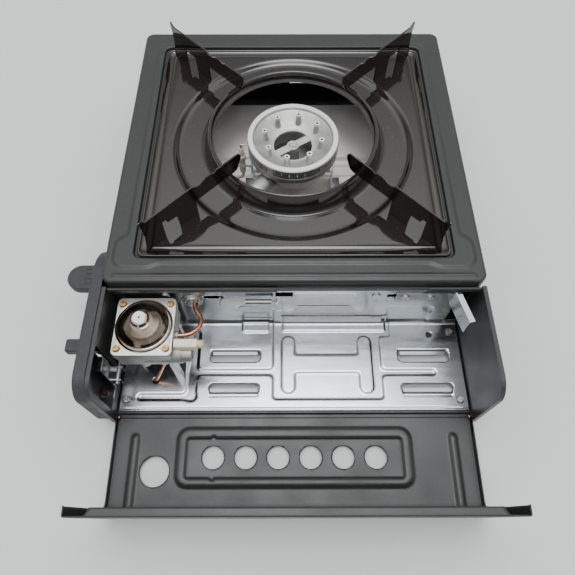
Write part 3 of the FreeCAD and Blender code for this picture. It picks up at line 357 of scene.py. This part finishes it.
def along_path(path):
    """Arc length at each point of a 2-D path, and functions for its place and left-hand normal."""
    steps = np.linalg.norm(np.diff(path, axis=0), axis=1)
    length = np.concatenate([[0], np.cumsum(steps)])
    tangent = np.gradient(path, length, axis=0)
    tangent /= np.linalg.norm(tangent, axis=1)[:, None]

    def place(v):
        return np.interp(v, length, path[:, 0]), np.interp(v, length, path[:, 1])

    def normal(v):
        ty = np.interp(v, length, tangent[:, 0])
        tz = np.interp(v, length, tangent[:, 1])
        size = np.hypot(ty, tz)
        return -tz / size, ty / size

    return length[-1], place, normal


def fine_lines(start, end, pitch):
    """Grid lines from start to end, about a pitch apart."""
    return np.linspace(start, end, int(round((end - start) / pitch)) + 1)


def build(name, points, faces, body, slot, thickness=None):
    """Mesh object from millimetre points, riding on a CAD body, in the material of its slot."""
    mesh = bpy.data.meshes.new(name)
    mesh.from_pydata((np.asarray(points, float) * MM).tolist(), [], faces)
    mesh.validate()
    mesh.update()
    for polygon in mesh.polygons:
        polygon.use_smooth = True
    mesh.materials.append(MATERIALS[slot])
    piece = bpy.data.objects.new(name, mesh)
    bpy.context.scene.collection.objects.link(piece)
    if thickness:
        solid = piece.modifiers.new("thickness", "SOLIDIFY")
        solid.thickness = thickness * MM
        solid.offset = -1
        solid.use_even_offset = False
    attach(piece, body)
    return piece


def pressed_sheet(name, us, vs, place, hole, body, slot, thickness):
    """Sheet over a grid of (u, v): place(u, v) gives its points, and hole(u, v) is negative in openings.

    Grid points on the border of an opening are moved onto its outline.
    """
    u, v = np.meshgrid(us, vs)
    u = u.ravel()
    v = v.ravel()
    columns = len(us)
    corner = np.arange(len(u)).reshape(len(vs), columns)
    quads = np.stack([corner[:-1, :-1], corner[:-1, 1:], corner[1:, 1:], corner[1:, :-1]], -1)
    quads = quads.reshape(-1, 4)
    gone = hole(u[quads].mean(1), v[quads].mean(1)) < 0
    edge = np.intersect1d(quads[gone], quads[~gone])
    quads = quads[~gone]
    step = 0.01
    least_slope = 0.2
    for _ in range(4):
        here = hole(u[edge], v[edge])
        slope_u = (hole(u[edge] + step, v[edge]) - here) / step
        slope_v = (hole(u[edge], v[edge] + step) - here) / step
        size = np.maximum(slope_u ** 2 + slope_v ** 2, least_slope)
        u[edge] -= here * slope_u / size
        v[edge] -= here * slope_v / size
    used = np.unique(quads)
    renumber = np.full(len(u), -1)
    renumber[used] = np.arange(len(used))
    points = np.stack(place(u[used], v[used]), -1)
    return build(name, points, renumber[quads].tolist(), body, slot, thickness)


def lofted(name, rings, body, slot, thickness):
    """Closed rings of points, one after another, joined by quads."""
    rings = np.asarray(rings, float)
    count, around = rings.shape[:2]
    corner = np.arange(count * around).reshape(count, around)
    after = np.roll(corner, -1, axis=1)
    quads = np.stack([corner[:-1], after[:-1], after[1:], corner[1:]], -1).reshape(-1, 4)
    return build(name, rings.reshape(-1, 3), quads.tolist(), body, slot, thickness)


def rect_ring(half_x, y0, y1, radius, per_side=150, per_corner=14):
    """Points round a rounded rectangle, the same number on each side and corner whatever its size."""
    centres = [(half_x - radius, y1 - radius, 0), (-half_x + radius, y1 - radius, 90),
               (-half_x + radius, y0 + radius, 180), (half_x - radius, y0 + radius, 270)]
    corners = []
    for cx, cy, start in centres:
        turn = np.radians(start + np.linspace(0, 90, per_corner))
        corners.append(np.stack([cx + radius * np.cos(turn), cy + radius * np.sin(turn)], -1))
    out = []
    for i in range(4):
        out.append(corners[i])
        first = corners[i][-1]
        last = corners[(i + 1) % 4][0]
        t = np.linspace(0, 1, per_side + 2)[1:-1, None]
        out.append(first + (last - first) * t)
    return np.concatenate(out)


def prism_x(name, outline, x0, x1, body, slot):
    """Solid prism along X over an outline of (y, z)."""
    count = len(outline)
    points = [(x, y, z) for x in (x0, x1) for y, z in outline]
    faces = [list(range(count)), list(range(2 * count - 1, count - 1, -1))]
    faces += [(i, i + count, (i + 1) % count + count, (i + 1) % count) for i in range(count)]
    piece = build(name, points, faces, body, slot)
    for polygon in piece.data.polygons:
        polygon.use_smooth = False
    return piece


# ---------------------------------------------------------------- top plate

SHEET = 0.8                     # painted and enamelled sheet
TRAY_GAP = 1.8                  # dark gap round the drip tray
plate_low, plate_high = span("top_plate")
tray_low, tray_high = span("drip_tray")
PLATE_HALF_X, PLATE_HALF_Y, TOP = plate_high
SKIRT = plate_low[2]            # lower edge of the top plate's skirt
OPEN_X = tray_high[0] + TRAY_GAP
OPEN_Y0 = tray_low[1] - TRAY_GAP
OPEN_Y1 = tray_high[1] + TRAY_GAP
FIELD_RISE = 0.9
BEAD_RISE = 0.85
BEAD_Y = -127.0


def top_pattern(x, y):
    """Height of the top plate's pattern: a raised field round the opening, and a bead along the front.

    The field has a wider lobe at each front corner.
    """
    field = rounded_rect(x, y, -120.5, 120.5, OPEN_Y0 - 4.6, OPEN_Y1 + 5.5, 9)
    for side in (-1, 1):
        lobe = rounded_rect(x * side, y, 97.0, 128.8, OPEN_Y0 - 7.8, -94.0, 9)
        field = join(field, lobe, 4.0)
    bead = stroke(x, y, [(-126.0, BEAD_Y), (126.0, BEAD_Y)], 1.1)
    return FIELD_RISE * smooth_edge(field, 2.6) + BEAD_RISE * smooth_edge(bead, 1.8)


def top_plate():
    """Painted top with a ledge and a rounded lip round its opening, and a rounded outer edge over a skirt."""
    rim = 2.2
    corner = 7.0
    open_corner = 6.0
    ledge_width = 9
    ledge_z = TOP - 2.1
    lip = 0.9
    inner = rect_ring(OPEN_X, OPEN_Y0, OPEN_Y1, open_corner)
    outer = rect_ring(PLATE_HALF_X - rim, -PLATE_HALF_Y + rim, PLATE_HALF_Y - rim, corner - rim)
    edge = rect_ring(PLATE_HALF_X, -PLATE_HALF_Y, PLATE_HALF_Y, corner)
    outward = (edge - outer) / rim
    ledge = rect_ring(OPEN_X - ledge_width, OPEN_Y0 + ledge_width, OPEN_Y1 - ledge_width, open_corner)

    def ring(flat, z):
        return np.column_stack([flat, np.broadcast_to(z, len(flat))])

    fillet = inner + (ledge - inner) * 0.08
    rings = [ring(ledge, ledge_z), ring(fillet, ledge_z), ring(inner, ledge_z + 0.3)]
    toward = (outer - inner) / np.linalg.norm(outer - inner, axis=1)[:, None]
    for turn in np.radians((0, 30, 60, 90)):
        flat = inner + toward * lip * (1 - math.cos(turn))
        rings.append(ring(flat, TOP - lip + lip * math.sin(turn) + top_pattern(*flat.T) * math.sin(turn)))
    start = inner + toward * lip
    for t in np.linspace(0, 1, 29)[1:]:
        flat = start + (outer - start) * t
        fade = min(1.0, (1 - t) * 12)
        rings.append(ring(flat, TOP + top_pattern(*flat.T) * fade))
    for turn in np.radians((20, 40, 60, 80, 90)):
        flat = outer + outward * rim * math.sin(turn)
        rings.append(ring(flat, TOP - rim + rim * math.cos(turn)))
    rings += [ring(edge, SKIRT + SHEET), ring(edge, SKIRT)]
    piece = lofted("top_plate_shell", [r[::-1] for r in rings], "root", "black_paint", SHEET)
    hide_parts("top_plate")


# ---------------------------------------------------------------- drip tray

FLAT = TOP - 1.0                # height of the tray's border
DISH = FLAT - 3.0               # height of the dish, inside the round step
STEP_R = 97.0                   # round step
STEP_WIDTH = 6.4
COLLAR_R = 66.5                 # crest of the collar round the burner's hole
COLLAR_Z = tray_high[2]


def reach(directions, half_x, y0, y1, radius):
    """Distance from the burner's axis to a rounded rectangle along each direction."""
    low = np.zeros(len(directions))
    high = np.full(len(directions), 220.0)
    for _ in range(40):
        middle = (low + high) / 2
        x, y = (directions * middle[:, None]).T
        inside = rounded_rect(x, y, -half_x, half_x, y0, y1, radius) < 0
        low = np.where(inside, middle, low)
        high = np.where(inside, high, middle)
    return low


def drip_tray():
    """Rounded rim bead, sloping border with a step, round step, dish and raised collar."""
    half_x = tray_high[0]
    y0 = tray_low[1]
    y1 = tray_high[1]
    corner = 5.0
    ring = rect_ring(half_x, y0, y1, corner, 110, 16)
    directions = ring / np.linalg.norm(ring, axis=1)[:, None]

    def square(inset, z):
        """Ring that follows the tray's edge at an inset, with slightly tighter corners."""
        radius = max(corner - inset * 0.2, 2.5)
        size = reach(directions, half_x - inset, y0 + inset, y1 - inset, radius)
        return np.column_stack([directions * size[:, None], np.full(len(size), z)])

    def circle(radius, z):
        return np.column_stack([directions * radius, np.full(len(directions), z)])

    bead_foot = FLAT + 0.1
    bead_width = 1.0
    bead_rise = 0.9
    rings = [square(0.0, FLAT - SHEET), square(0.0, bead_foot)]
    for turn in np.radians((20, 45, 70, 90, 115, 140, 160)):
        rings.append(square(bead_width * (1 - math.cos(turn)), bead_foot + bead_rise * math.sin(turn)))
    border = [(2.3, -0.15), (7.4, -0.5), (8.1, -0.1), (8.6, 0.0)]
    rings += [square(inset, FLAT + rise) for inset, rise in border]
    first = rings[-1]
    step_from = STEP_R + 1.2
    last = circle(step_from, FLAT)
    rings += [first + (last - first) * t for t in (0.2, 0.4, 0.6, 0.8, 0.97, 1.0)]
    for t in np.linspace(0, 1, 9)[1:]:
        soft = t * t * (3 - 2 * t)
        rings.append(circle(step_from - STEP_WIDTH * t, FLAT + (DISH - FLAT) * soft))
    rings += [circle(r, DISH) for r in (89, 85, 80, 76)]
    foot = COLLAR_R + 7.5
    for t in np.linspace(0, 1, 7)[1:]:
        rings.append(circle(foot - 2.0 * t, DISH + 1.6 * t * t))
    crest_r = 1.5
    rings.append(circle(COLLAR_R + 2.3, COLLAR_Z - 2.4))
    for turn in np.radians((20, 50, 80, 100, 130, 160)):
        radius = COLLAR_R - 0.2 + crest_r * math.cos(turn)
        rings.append(circle(radius, COLLAR_Z - crest_r + crest_r * math.sin(turn)))
    rings += [circle(COLLAR_R - 2.3, COLLAR_Z - 3.5), circle(COLLAR_R - 2.8, COLLAR_Z - 9.5)]
    piece = lofted("drip_tray_shell", rings, "drip_tray", "brown_enamel", SHEET)
    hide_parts("drip_tray")


# ---------------------------------------------------------------- cartridge tray

ZINC = 0.6                      # galvanised sheet
FRONT_LIP = 2.2                 # the tray's front edge is turned down this far
zinc_low, zinc_high = span("cartridge_tray")
FLOOR = zinc_low[2] + FRONT_LIP
FLOOR_FRONT = zinc_low[1]
WALL_Y = zinc_high[1] - ZINC
WALL_TOP = zinc_high[2]
WINDOW_X = [(-65.3, -26.0), (81.5, 121.7)]          # louvred windows in the floor
FRONT_WINDOW = (-189.6, -182.7)
BACK_WINDOW = (-165.8, -157.4)
WINDOW_CORNER = 3.6
DRAIN_HOLE = (108.6, -143.1, 2.2)                   # x, y and radius
RELIEF_HOLE = (-105.8, -180.5, 2.4)                 # the relief tube ends here
TUBE_HOLE = (-76.0, 47.0, 6.0)                      # x, z and radius, for the copper tube's eyelet
SHAFT_HOLE = (-127.5, 31.0, 1.65)                   # for the lock lever's shaft
WALL_SLOTS = [(-66.8, -52.0, 50.2, 55.6, 2.4), (-13.6, -0.8, 55.0, 62.4, 1), (68.4, 83.4, 52.5, 57.5, 1),
              (86.4, 101.4, 52.5, 57.5, 1), (121.8, 140, 12.5, 80, 1)]      # x0, x1, z0, z1, corner radius
SUNK = 1.1                      # depth of the floor's channels
LETTER_RISE = 1.0               # raised H in the floor's centre
BAR_RISE = 0.9                  # raised bars along the wall's foot


def floor_pattern(x, y):
    """Height of the pattern on the compartment's floor: sunk channels, raised H and bars, and louvres.

    The sheet dips at the rear edge of the back windows, and in front of the front windows, past a ridge.
    """
    sunk = rounded_rect(x, y, -16.2, 68.0, -195.4, -120, 3)
    sunk = join(sunk, rounded_rect(x, y, -13.5, 76.8, -144.6, -120, 2), 3)
    sunk = join(sunk, rounded_rect(x, y, -82.0, -74.4, -195.7, -139, 3.7), 1)
    channels = [(-118, -75, -195.7, -191.0), (-80, -10, -176.3, -171.8), (60, 109.6, -176.6, -172.2)]
    for x0, x1, y0, y1 in channels:
        sunk = join(sunk, rounded_rect(x, y, x0, x1, y0, y1, 2.2), 4)
    letter = rounded_rect(x, y, -9.4, 0.8, -190.6, -144.2, 5)
    letter = np.minimum(letter, rounded_rect(x, y, 50.6, 61.0, -190.6, -144.2, 5))
    letter = join(letter, rounded_rect(x, y, -5, 56, -174.3, -159.9, 1), 2.5)
    bars = rounded_rect(x, y, -8.6, 73.6, -139.6, -120, 1.2)
    bars = np.minimum(bars, rounded_rect(x, y, -41, -20, -140.6, -120, 2))
    height = -SUNK * smooth_edge(sunk, 1.7) + LETTER_RISE * smooth_edge(letter, 1.7)
    height += BAR_RISE * smooth_edge(bars, 1.8)
    front_step = rounded_rect(x, y, -200, 200, -210, -201.6, 1)
    height -= 0.7 * smooth_edge(front_step, 1.2)
    for x0, x1 in WINDOW_X:
        behind = smooth_edge(rounded_rect(x, y, x0 + 0.6, x1 - 0.6, -160, -155.2, 0.5), 0.8)
        height -= behind * np.clip((-155.4 - y) * 0.9, 0, 2.2)
        before = smooth_edge(rounded_rect(x, y, x0 + 1.5, x1 - 1.5, -193.6, -186, 0.5), 0.8)
        ridge = 1.1 * np.exp(-((y + 191.2) / 0.9) ** 2)
        height -= before * (np.clip((y + 193.5) * 0.55, 0, 2.4) - ridge)
    return height


def round_hole(x, y, circle):
    """Signed distance to a circle, given as x, y and radius."""
    return np.hypot(x - circle[0], y - circle[1]) - circle[2]


def floor_holes(x, y):
    """Negative inside the floor's openings."""
    openings = [round_hole(x, y, DRAIN_HOLE), round_hole(x, y, RELIEF_HOLE)]
    for x0, x1 in WINDOW_X:
        for y0, y1 in (BACK_WINDOW, FRONT_WINDOW):
            openings.append(rounded_rect(x, y, x0, x1, y0, y1, WINDOW_CORNER))
    return np.minimum.reduce(openings)


def wall_pattern(x, z):
    """Height, towards the compartment, of the pattern on the back wall."""
    column = rounded_rect(x, z, -16.4, -0.6, 30.5, 90, 7)
    strip = rounded_rect(x, z, -10.5, 74.5, -10, 21.8, 2)
    right = rounded_rect(x, z, 70.5, 106.8, -10, 37.0, 4)
    post = rounded_rect(x, z, 61.0, 70.0, 14, 47, 1.5)
    field = rounded_rect(x, z, 0.8, 44.0, 38.5, 59.0, 2)
    route = [(-28, 38.6), (-40, 38.2), (-43, 35.5), (-43, 21), (-40, 18.2), (-16, 17.6)]
    groove = stroke(x, z, route, 0.5)
    rises = [(column, 0.8, 2.2), (strip, 0.8, 1.8), (post, 0.3, 1.6)]
    dips = [(right, 0.5, 1.8), (field, 0.5, 1.8), (groove, 0.6, 1.4)]
    height = sum(depth * smooth_edge(distance, width) for distance, depth, width in rises)
    return height - sum(depth * smooth_edge(distance, width) for distance, depth, width in dips)


def wall_holes(x, z):
    """Negative inside the back wall's openings."""
    openings = [rounded_rect(x, z, *slot) for slot in WALL_SLOTS]
    openings += [round_hole(x, z, TUBE_HOLE), round_hole(x, z, SHAFT_HOLE)]
    return np.minimum.reduce(openings)


def cartridge_tray():
    """Galvanised floor and back wall in one pressed sheet, with a turned-down front edge."""
    front_bend = 0.7
    wall_bend = 3.0
    half_x = zinc_high[0]
    join_y = FLOOR_FRONT + 5
    lip = [(FLOOR_FRONT, FLOOR - FRONT_LIP), (FLOOR_FRONT, FLOOR), (join_y, FLOOR)]
    wall = [(join_y, FLOOR), (WALL_Y, FLOOR), (WALL_Y, WALL_TOP)]
    path = np.concatenate([arc_path(lip, front_bend)[:-1], arc_path(wall, wall_bend)[1:]])
    length, place_on, normal_at = along_path(path)

    def place(u, v):
        """Point of the sheet, with the floor's or the wall's pattern; the turned-down lip is plain."""
        y, z = place_on(v)
        ny, nz = normal_at(v)
        upright = nz < 0.5
        on_floor = floor_pattern(u, y) * (z < FLOOR + 1.2)
        on_wall = wall_pattern(u, z)
        height = np.where(upright & (z > FLOOR), on_wall, on_floor)
        height = np.where(z < FLOOR - 0.1, 0, height)
        return u, y + ny * height, z + nz * height

    def hole(u, v):
        y, z = place_on(v)
        return np.where(z > FLOOR + 2.2, wall_holes(u, z), floor_holes(u, y))

    us = fine_lines(-half_x, half_x, 0.8)
    vs = fine_lines(0, length, 0.72)
    piece = pressed_sheet("cartridge_tray_sheet", us, vs, place, hole, "root", "galvanised_steel", ZINC)
    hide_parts("cartridge_tray")


def window_flaps():
    """Louvre flaps at the edges of the floor's windows, with a black strip under the slit behind the front
    ones that paints the slit's shade.
    """
    front = FRONT_WINDOW[0]
    slit = front + 2.3
    back = BACK_WINDOW[1]
    front_flap = [(front, FLOOR - 0.5), (slit, FLOOR + 0.6), (slit, FLOOR + 0.2), (front, FLOOR - 1.0)]
    # black strip under the slit: painted shade in the slit behind the front flap
    slit_end = slit + 0.8
    slit_shade_strip = [(slit, FLOOR - 1.7), (slit_end, FLOOR - 1.7), (slit_end, FLOOR - 2.1), (slit, FLOOR - 2.1)]
    back_flap = [(back, FLOOR), (back - 2.1, FLOOR - 1.1), (back - 2.1, FLOOR - 1.5), (back, FLOOR - 0.6)]
    for i, (x0, x1) in enumerate(WINDOW_X):
        prism_x(f"flap_back_{i}", back_flap, x0 + 2.0, x1 - 2.6, "root", "galvanised_steel")
        prism_x(f"flap_front_{i}", front_flap, x0 + 1.6, x1 - 2.0, "root", "galvanised_steel")
        prism_x(f"flap_slit_shade_{i}", slit_shade_strip, x0 + 1.6, x1 - 2.0, "root", "black_paint")


# ---------------------------------------------------------------- cartridge cover

COVER_JOINT = next(j for j in frame["record"]["behaviour"]["joints"] if j["name"] == "cover_close")
HINGE = np.array(COVER_JOINT["pos_m"][1:]) / MM                # y and z
COVER_OPEN = math.radians(COVER_JOINT["range_deg"][1])         # the closed shape is turned by this angle
COVER_HALF_X = span("cartridge_cover")[1][0]
COVER_FRONT = 3.0               # from the hinge out to the closed cover's front face
COVER_TOP = 69.0                # from the hinge up to its upper face
COVER_BACK = 75.5               # from the hinge back to its free edge
COVER_BEND = 12.0
COVER_RIM = 6.0                 # turned-down edges
COVER_FOLD = 1.2                # bend radius of these edges
FIRST_HOLE_X = -59.0            # the raised frame has small notches in line with this hole
HOLE_PITCH = 23.6
LARGE_HOLE = (-100.5, 38.0, 10.5)                               # x, s along the sheet, and radius
COVER_HOLES = [(FIRST_HOLE_X + HOLE_PITCH * i, 28.5, 8.0) for i in range(6)] + [LARGE_HOLE]


def opened(y, z):
    """Place of a point of the closed cover when the cover is open."""
    turn_cos = math.cos(COVER_OPEN)
    turn_sin = math.sin(COVER_OPEN)
    dy = y - HINGE[0]
    dz = z - HINGE[1]
    return HINGE[0] + dy * turn_cos - dz * turn_sin, HINGE[1] + dy * turn_sin + dz * turn_cos


def cover_pattern(x, s):
    """Height towards the closed cover's inside, s along the sheet: a frame round six holes, and two ribs."""
    outer = rounded_rect(x, s, -84.6, 84.6, 8.2, 48.2, 8)
    inner = rounded_rect(x, s, -78.6, 78.6, 14.8, 43.0, 2)
    for notch_s in (14.8, 43.0):
        inner = np.minimum(inner, round_hole(x, s, (FIRST_HOLE_X, notch_s, 1.6)))
    height = 2.0 * smooth_edge(outer, 3.4) - 2.3 * smooth_edge(inner, 0.9)
    for side in (-1, 1):
        rib = stroke(x, s, [(side * 116.2, 14.8), (side * 116.2, 200.0)], 2.2)
        height += 1.7 * smooth_edge(rib, 3.2)
    return height


def cartridge_cover():
    """Pressed cover: front and top in one bent sheet, with turned-down sides and free edge, built open."""
    front = HINGE[0] - COVER_FRONT
    top = HINGE[1] + COVER_TOP
    back = HINGE[0] + COVER_BACK
    path = arc_path([(front, HINGE[1]), (front, top), (back, top)], COVER_BEND, 16)
    length, place_on, normal_at = along_path(path)
    fold = COVER_FOLD
    flat = COVER_HALF_X - fold
    wrap = fold * math.pi / 2
    skirt = COVER_RIM - fold
    flange_half_x = 119.0

    def folded(distance, limit):
        """Place along the sheet and drop below it, for a distance that runs over a folded edge."""
        over = np.abs(distance) - limit
        turn = np.clip(over / fold, 0, math.pi / 2)
        run = np.where(over > 0, limit + fold * np.sin(turn), np.abs(distance))
        drop = np.where(over > 0, fold * (1 - np.cos(turn)) + np.maximum(over - wrap, 0), 0)
        return np.sign(distance) * run, drop

    def place(u, v):
        """Point of the sheet: bent along v, folded at its sides and free edge, pressed, and turned open."""
        x, side_drop = folded(u, flat)
        end = np.maximum(v - (length - fold), 0)
        end_turn = np.clip(end / fold, 0, math.pi / 2)
        along = np.where(end > 0, length - fold + fold * np.sin(end_turn), v)
        end_drop = np.where(end > 0, fold * (1 - np.cos(end_turn)) + np.maximum(end - wrap, 0), 0)
        y, z = place_on(along)
        ny, nz = normal_at(along)
        inward = cover_pattern(x, v) * (side_drop == 0) * (end_drop == 0) + side_drop + end_drop
        y, z = opened(y - ny * inward, z - nz * inward)
        return x, y, z

    def hole(u, v):
        """Round holes, and the corners that the free edge's flange leaves open."""
        openings = [round_hole(u, v, circle) for circle in COVER_HOLES]
        past_edge = v - (length - fold * 0.2)
        past_flange = np.abs(u) - flange_half_x + np.maximum(v - length, 0) * 0.6
        corners = np.maximum(-past_edge, -past_flange)
        return np.minimum.reduce(openings + [corners])

    us = fine_lines(-flat, flat, 1.0)
    bend_lines = flat + np.array([0.3, 0.6, 0.9, 1.2, 1.5, wrap])
    rim_lines = np.concatenate([bend_lines, flat + wrap + np.array([1.6, 3.2, skirt])])
    us = np.concatenate([-rim_lines[::-1], us, rim_lines])
    edge_bend = length - fold + np.array([0.4, 0.8, 1.2, 1.6, wrap])
    edge_flange = length - fold + wrap + np.array([1.4, 2.8, 4.2])
    vs = np.concatenate([fine_lines(0, length - fold, 1.0), edge_bend, edge_flange])
    piece = pressed_sheet("cartridge_cover_sheet", us, vs, place, hole, "cover", "black_paint", SHEET)
    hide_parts("cartridge_cover")


def pan_lip():
    """Sloping front lip of the base pan, under the cover's hinge line."""
    low, high = span("base_pan")
    y = low[1] + 0.2
    z = low[2]
    lower_face = [(y, z), (y - 1.2, z - 2.6), (y - 5.2, z - 2.8)]
    upper_face = [(y - 5.2, z - 2.1), (y - 0.8, z - 1.9), (y, z + 0.7)]
    prism_x("base_pan_lip", lower_face + upper_face, low[0] + 1.0, high[0] - 1.0, "root", "black_paint")


def cover_lugs():
    """Ears at the cover's hinge, beyond its bottom edge."""
    radius = COVER_FRONT
    length = 12
    outline = [(radius * math.cos(t), radius * math.sin(t)) for t in np.radians(np.linspace(180, 360, 14))]
    outline += [(radius, length), (-radius, length)]
    turned = [opened(HINGE[0] + y, HINGE[1] + z) for y, z in outline]
    for side, name in ((-1, "cover_lug_left"), (1, "cover_lug_right")):
        x0, x1 = sorted((side * (COVER_HALF_X - SHEET), side * COVER_HALF_X))
        prism_x(name, turned, x0, x1, "cover", "black_paint")


def spring_coils():
    """Wire turns round the return spring's sleeve."""
    low, high = span("return_spring")
    y = (low[1] + high[1]) / 2
    z = (low[2] + high[2]) / 2
    start = -35.4
    end = -16.6
    pitch = 1.15
    radius = 1.75
    wire = 0.42
    steps = 24
    sides = 8
    count = int((end - start) / pitch * steps)
    points = []
    for i in range(count + 1):
        turn = 2 * math.pi * i / steps
        out = np.array([0, math.cos(turn), math.sin(turn)])
        middle = np.array([start + pitch * i / steps, y, z]) + radius * out
        for j in range(sides):
            t = 2 * math.pi * j / sides
            points.append(middle + wire * (math.cos(t) * out + np.array([math.sin(t), 0, 0])))
    faces = []
    for here in range(0, count * sides, sides):
        after = here + sides
        for j in range(sides):
            k = (j + 1) % sides
            faces.append((here + j, here + k, after + k, after + j))
    build("return_spring_coils", points, faces, "root", "spring_steel")


# ---------------------------------------------------------------- floor, light and camera

SKY = [(0.0, (0.20, 0.20, 0.205)), (0.35, (0.20, 0.205, 0.20)), (0.58, (0.10, 0.105, 0.10)),
       (0.70, (0.30, 0.31, 0.30)), (0.86, (0.62, 0.635, 0.62)), (0.905, (0.20, 0.21, 0.225)),
       (0.935, (0.20, 0.21, 0.225)), (0.962, (1.35, 1.39, 1.44)), (1.0, (1.95, 1.99, 2.01))]
SKY_STRENGTH = 3.9
LAMP_AT = Vector((0.05, 0.06, 1.5))
LAMP_TOWARDS = Vector((0, -0.1, 0))
EYE = Vector((-0.0054, -0.30383, 0.39162))
PITCH = math.radians(62.02)         # the view looks down by this angle
YAW = math.radians(0.19)
ROLL = math.radians(0.05)
LENS = 32.38                        # in millimetres, on a sensor 36 mm wide


def studio_floor():
    """Pale, matt floor."""
    half = 3.0
    mesh = bpy.data.meshes.new("studio_floor")
    corners = [(-half, -half, 0), (half, -half, 0), (half, half, 0), (-half, half, 0)]
    mesh.from_pydata(corners, [], [(0, 1, 2, 3)])
    floor = bpy.data.objects.new("studio_floor", mesh)
    bpy.context.scene.collection.objects.link(floor)
    pale = (0.64, 0.655, 0.65)
    material, shader, tree = new_material("studio_floor", pale, 0.6)
    shader.inputs["Specular IOR Level"].default_value = 0.2
    clouded(tree, shader, 1.5, pale, (0.62, 0.635, 0.63), 2)
    mesh.materials.append(material)


def studio_light():
    """Bright room, coloured by height: grey walls, a pale band, a darker ring, and a lit patch overhead."""
    world = bpy.data.worlds.new("studio")
    bpy.context.scene.world = world
    world.use_nodes = True
    tree = world.node_tree
    background = tree.nodes["Background"]
    place = tree.nodes.new("ShaderNodeTexCoord")
    split = tree.nodes.new("ShaderNodeSeparateXYZ")
    ramp = tree.nodes.new("ShaderNodeValToRGB")
    tree.links.new(place.outputs["Generated"], split.inputs["Vector"])
    tree.links.new(split.outputs["Z"], ramp.inputs["Fac"])
    tree.links.new(ramp.outputs["Color"], background.inputs["Color"])
    for element, (position, color) in zip(ramp.color_ramp.elements, (SKY[0], SKY[-1])):
        element.position = position
        element.color = (*color, 1)
    for position, color in SKY[1:-1]:
        ramp.color_ramp.elements.new(position).color = (*color, 1)
    background.inputs["Strength"].default_value = SKY_STRENGTH
    lamp = bpy.data.lights.new("ceiling_light", "AREA")
    lamp.shape = "RECTANGLE"
    lamp.size = 0.5
    lamp.size_y = 0.5
    lamp.energy = 2.0
    light = bpy.data.objects.new("ceiling_light", lamp)
    light.location = LAMP_AT
    light.rotation_euler = (LAMP_TOWARDS - LAMP_AT).to_track_quat("-Z", "Y").to_euler()
    bpy.context.scene.collection.objects.link(light)


def camera():
    """Camera that looks down on the stove from the cook's side."""
    forward = Vector((math.sin(YAW) * math.cos(PITCH), math.cos(YAW) * math.cos(PITCH), -math.sin(PITCH)))
    level = Vector((math.cos(YAW), -math.sin(YAW), 0))
    upright = level.cross(forward)
    right = level * math.cos(ROLL) + upright * math.sin(ROLL)
    up = upright * math.cos(ROLL) - level * math.sin(ROLL)
    data = bpy.data.cameras.new("camera")
    data.lens = LENS
    data.sensor_width = 36
    data.clip_start = 0.01
    view = bpy.data.objects.new("camera", data)
    turn = Matrix((right, up, -forward)).transposed().to_4x4()
    view.matrix_world = Matrix.Translation(EYE) @ turn
    bpy.context.scene.collection.objects.link(view)
    bpy.context.scene.camera = view


# ---------------------------------------------------------------- scene

# softened edges, in millimetres, by how a node's name starts
BEVELS = {"pan_support": 0.35, "control_panel": 0.4, "control_knob": 0.35, "burner": 0.3, "governor": 0.35}
FINE_BEVEL = 0.2

for node_name in nodes:
    width = next((w for start, w in BEVELS.items() if node_name.startswith(start)), FINE_BEVEL)
    dress(node_name, MATERIALS[SLOT_OF[node_name]], width)

top_plate()
drip_tray()
cartridge_tray()
cartridge_cover()
window_flaps()
pan_lip()
cover_lugs()
spring_coils()
studio_floor()
studio_light()
camera()
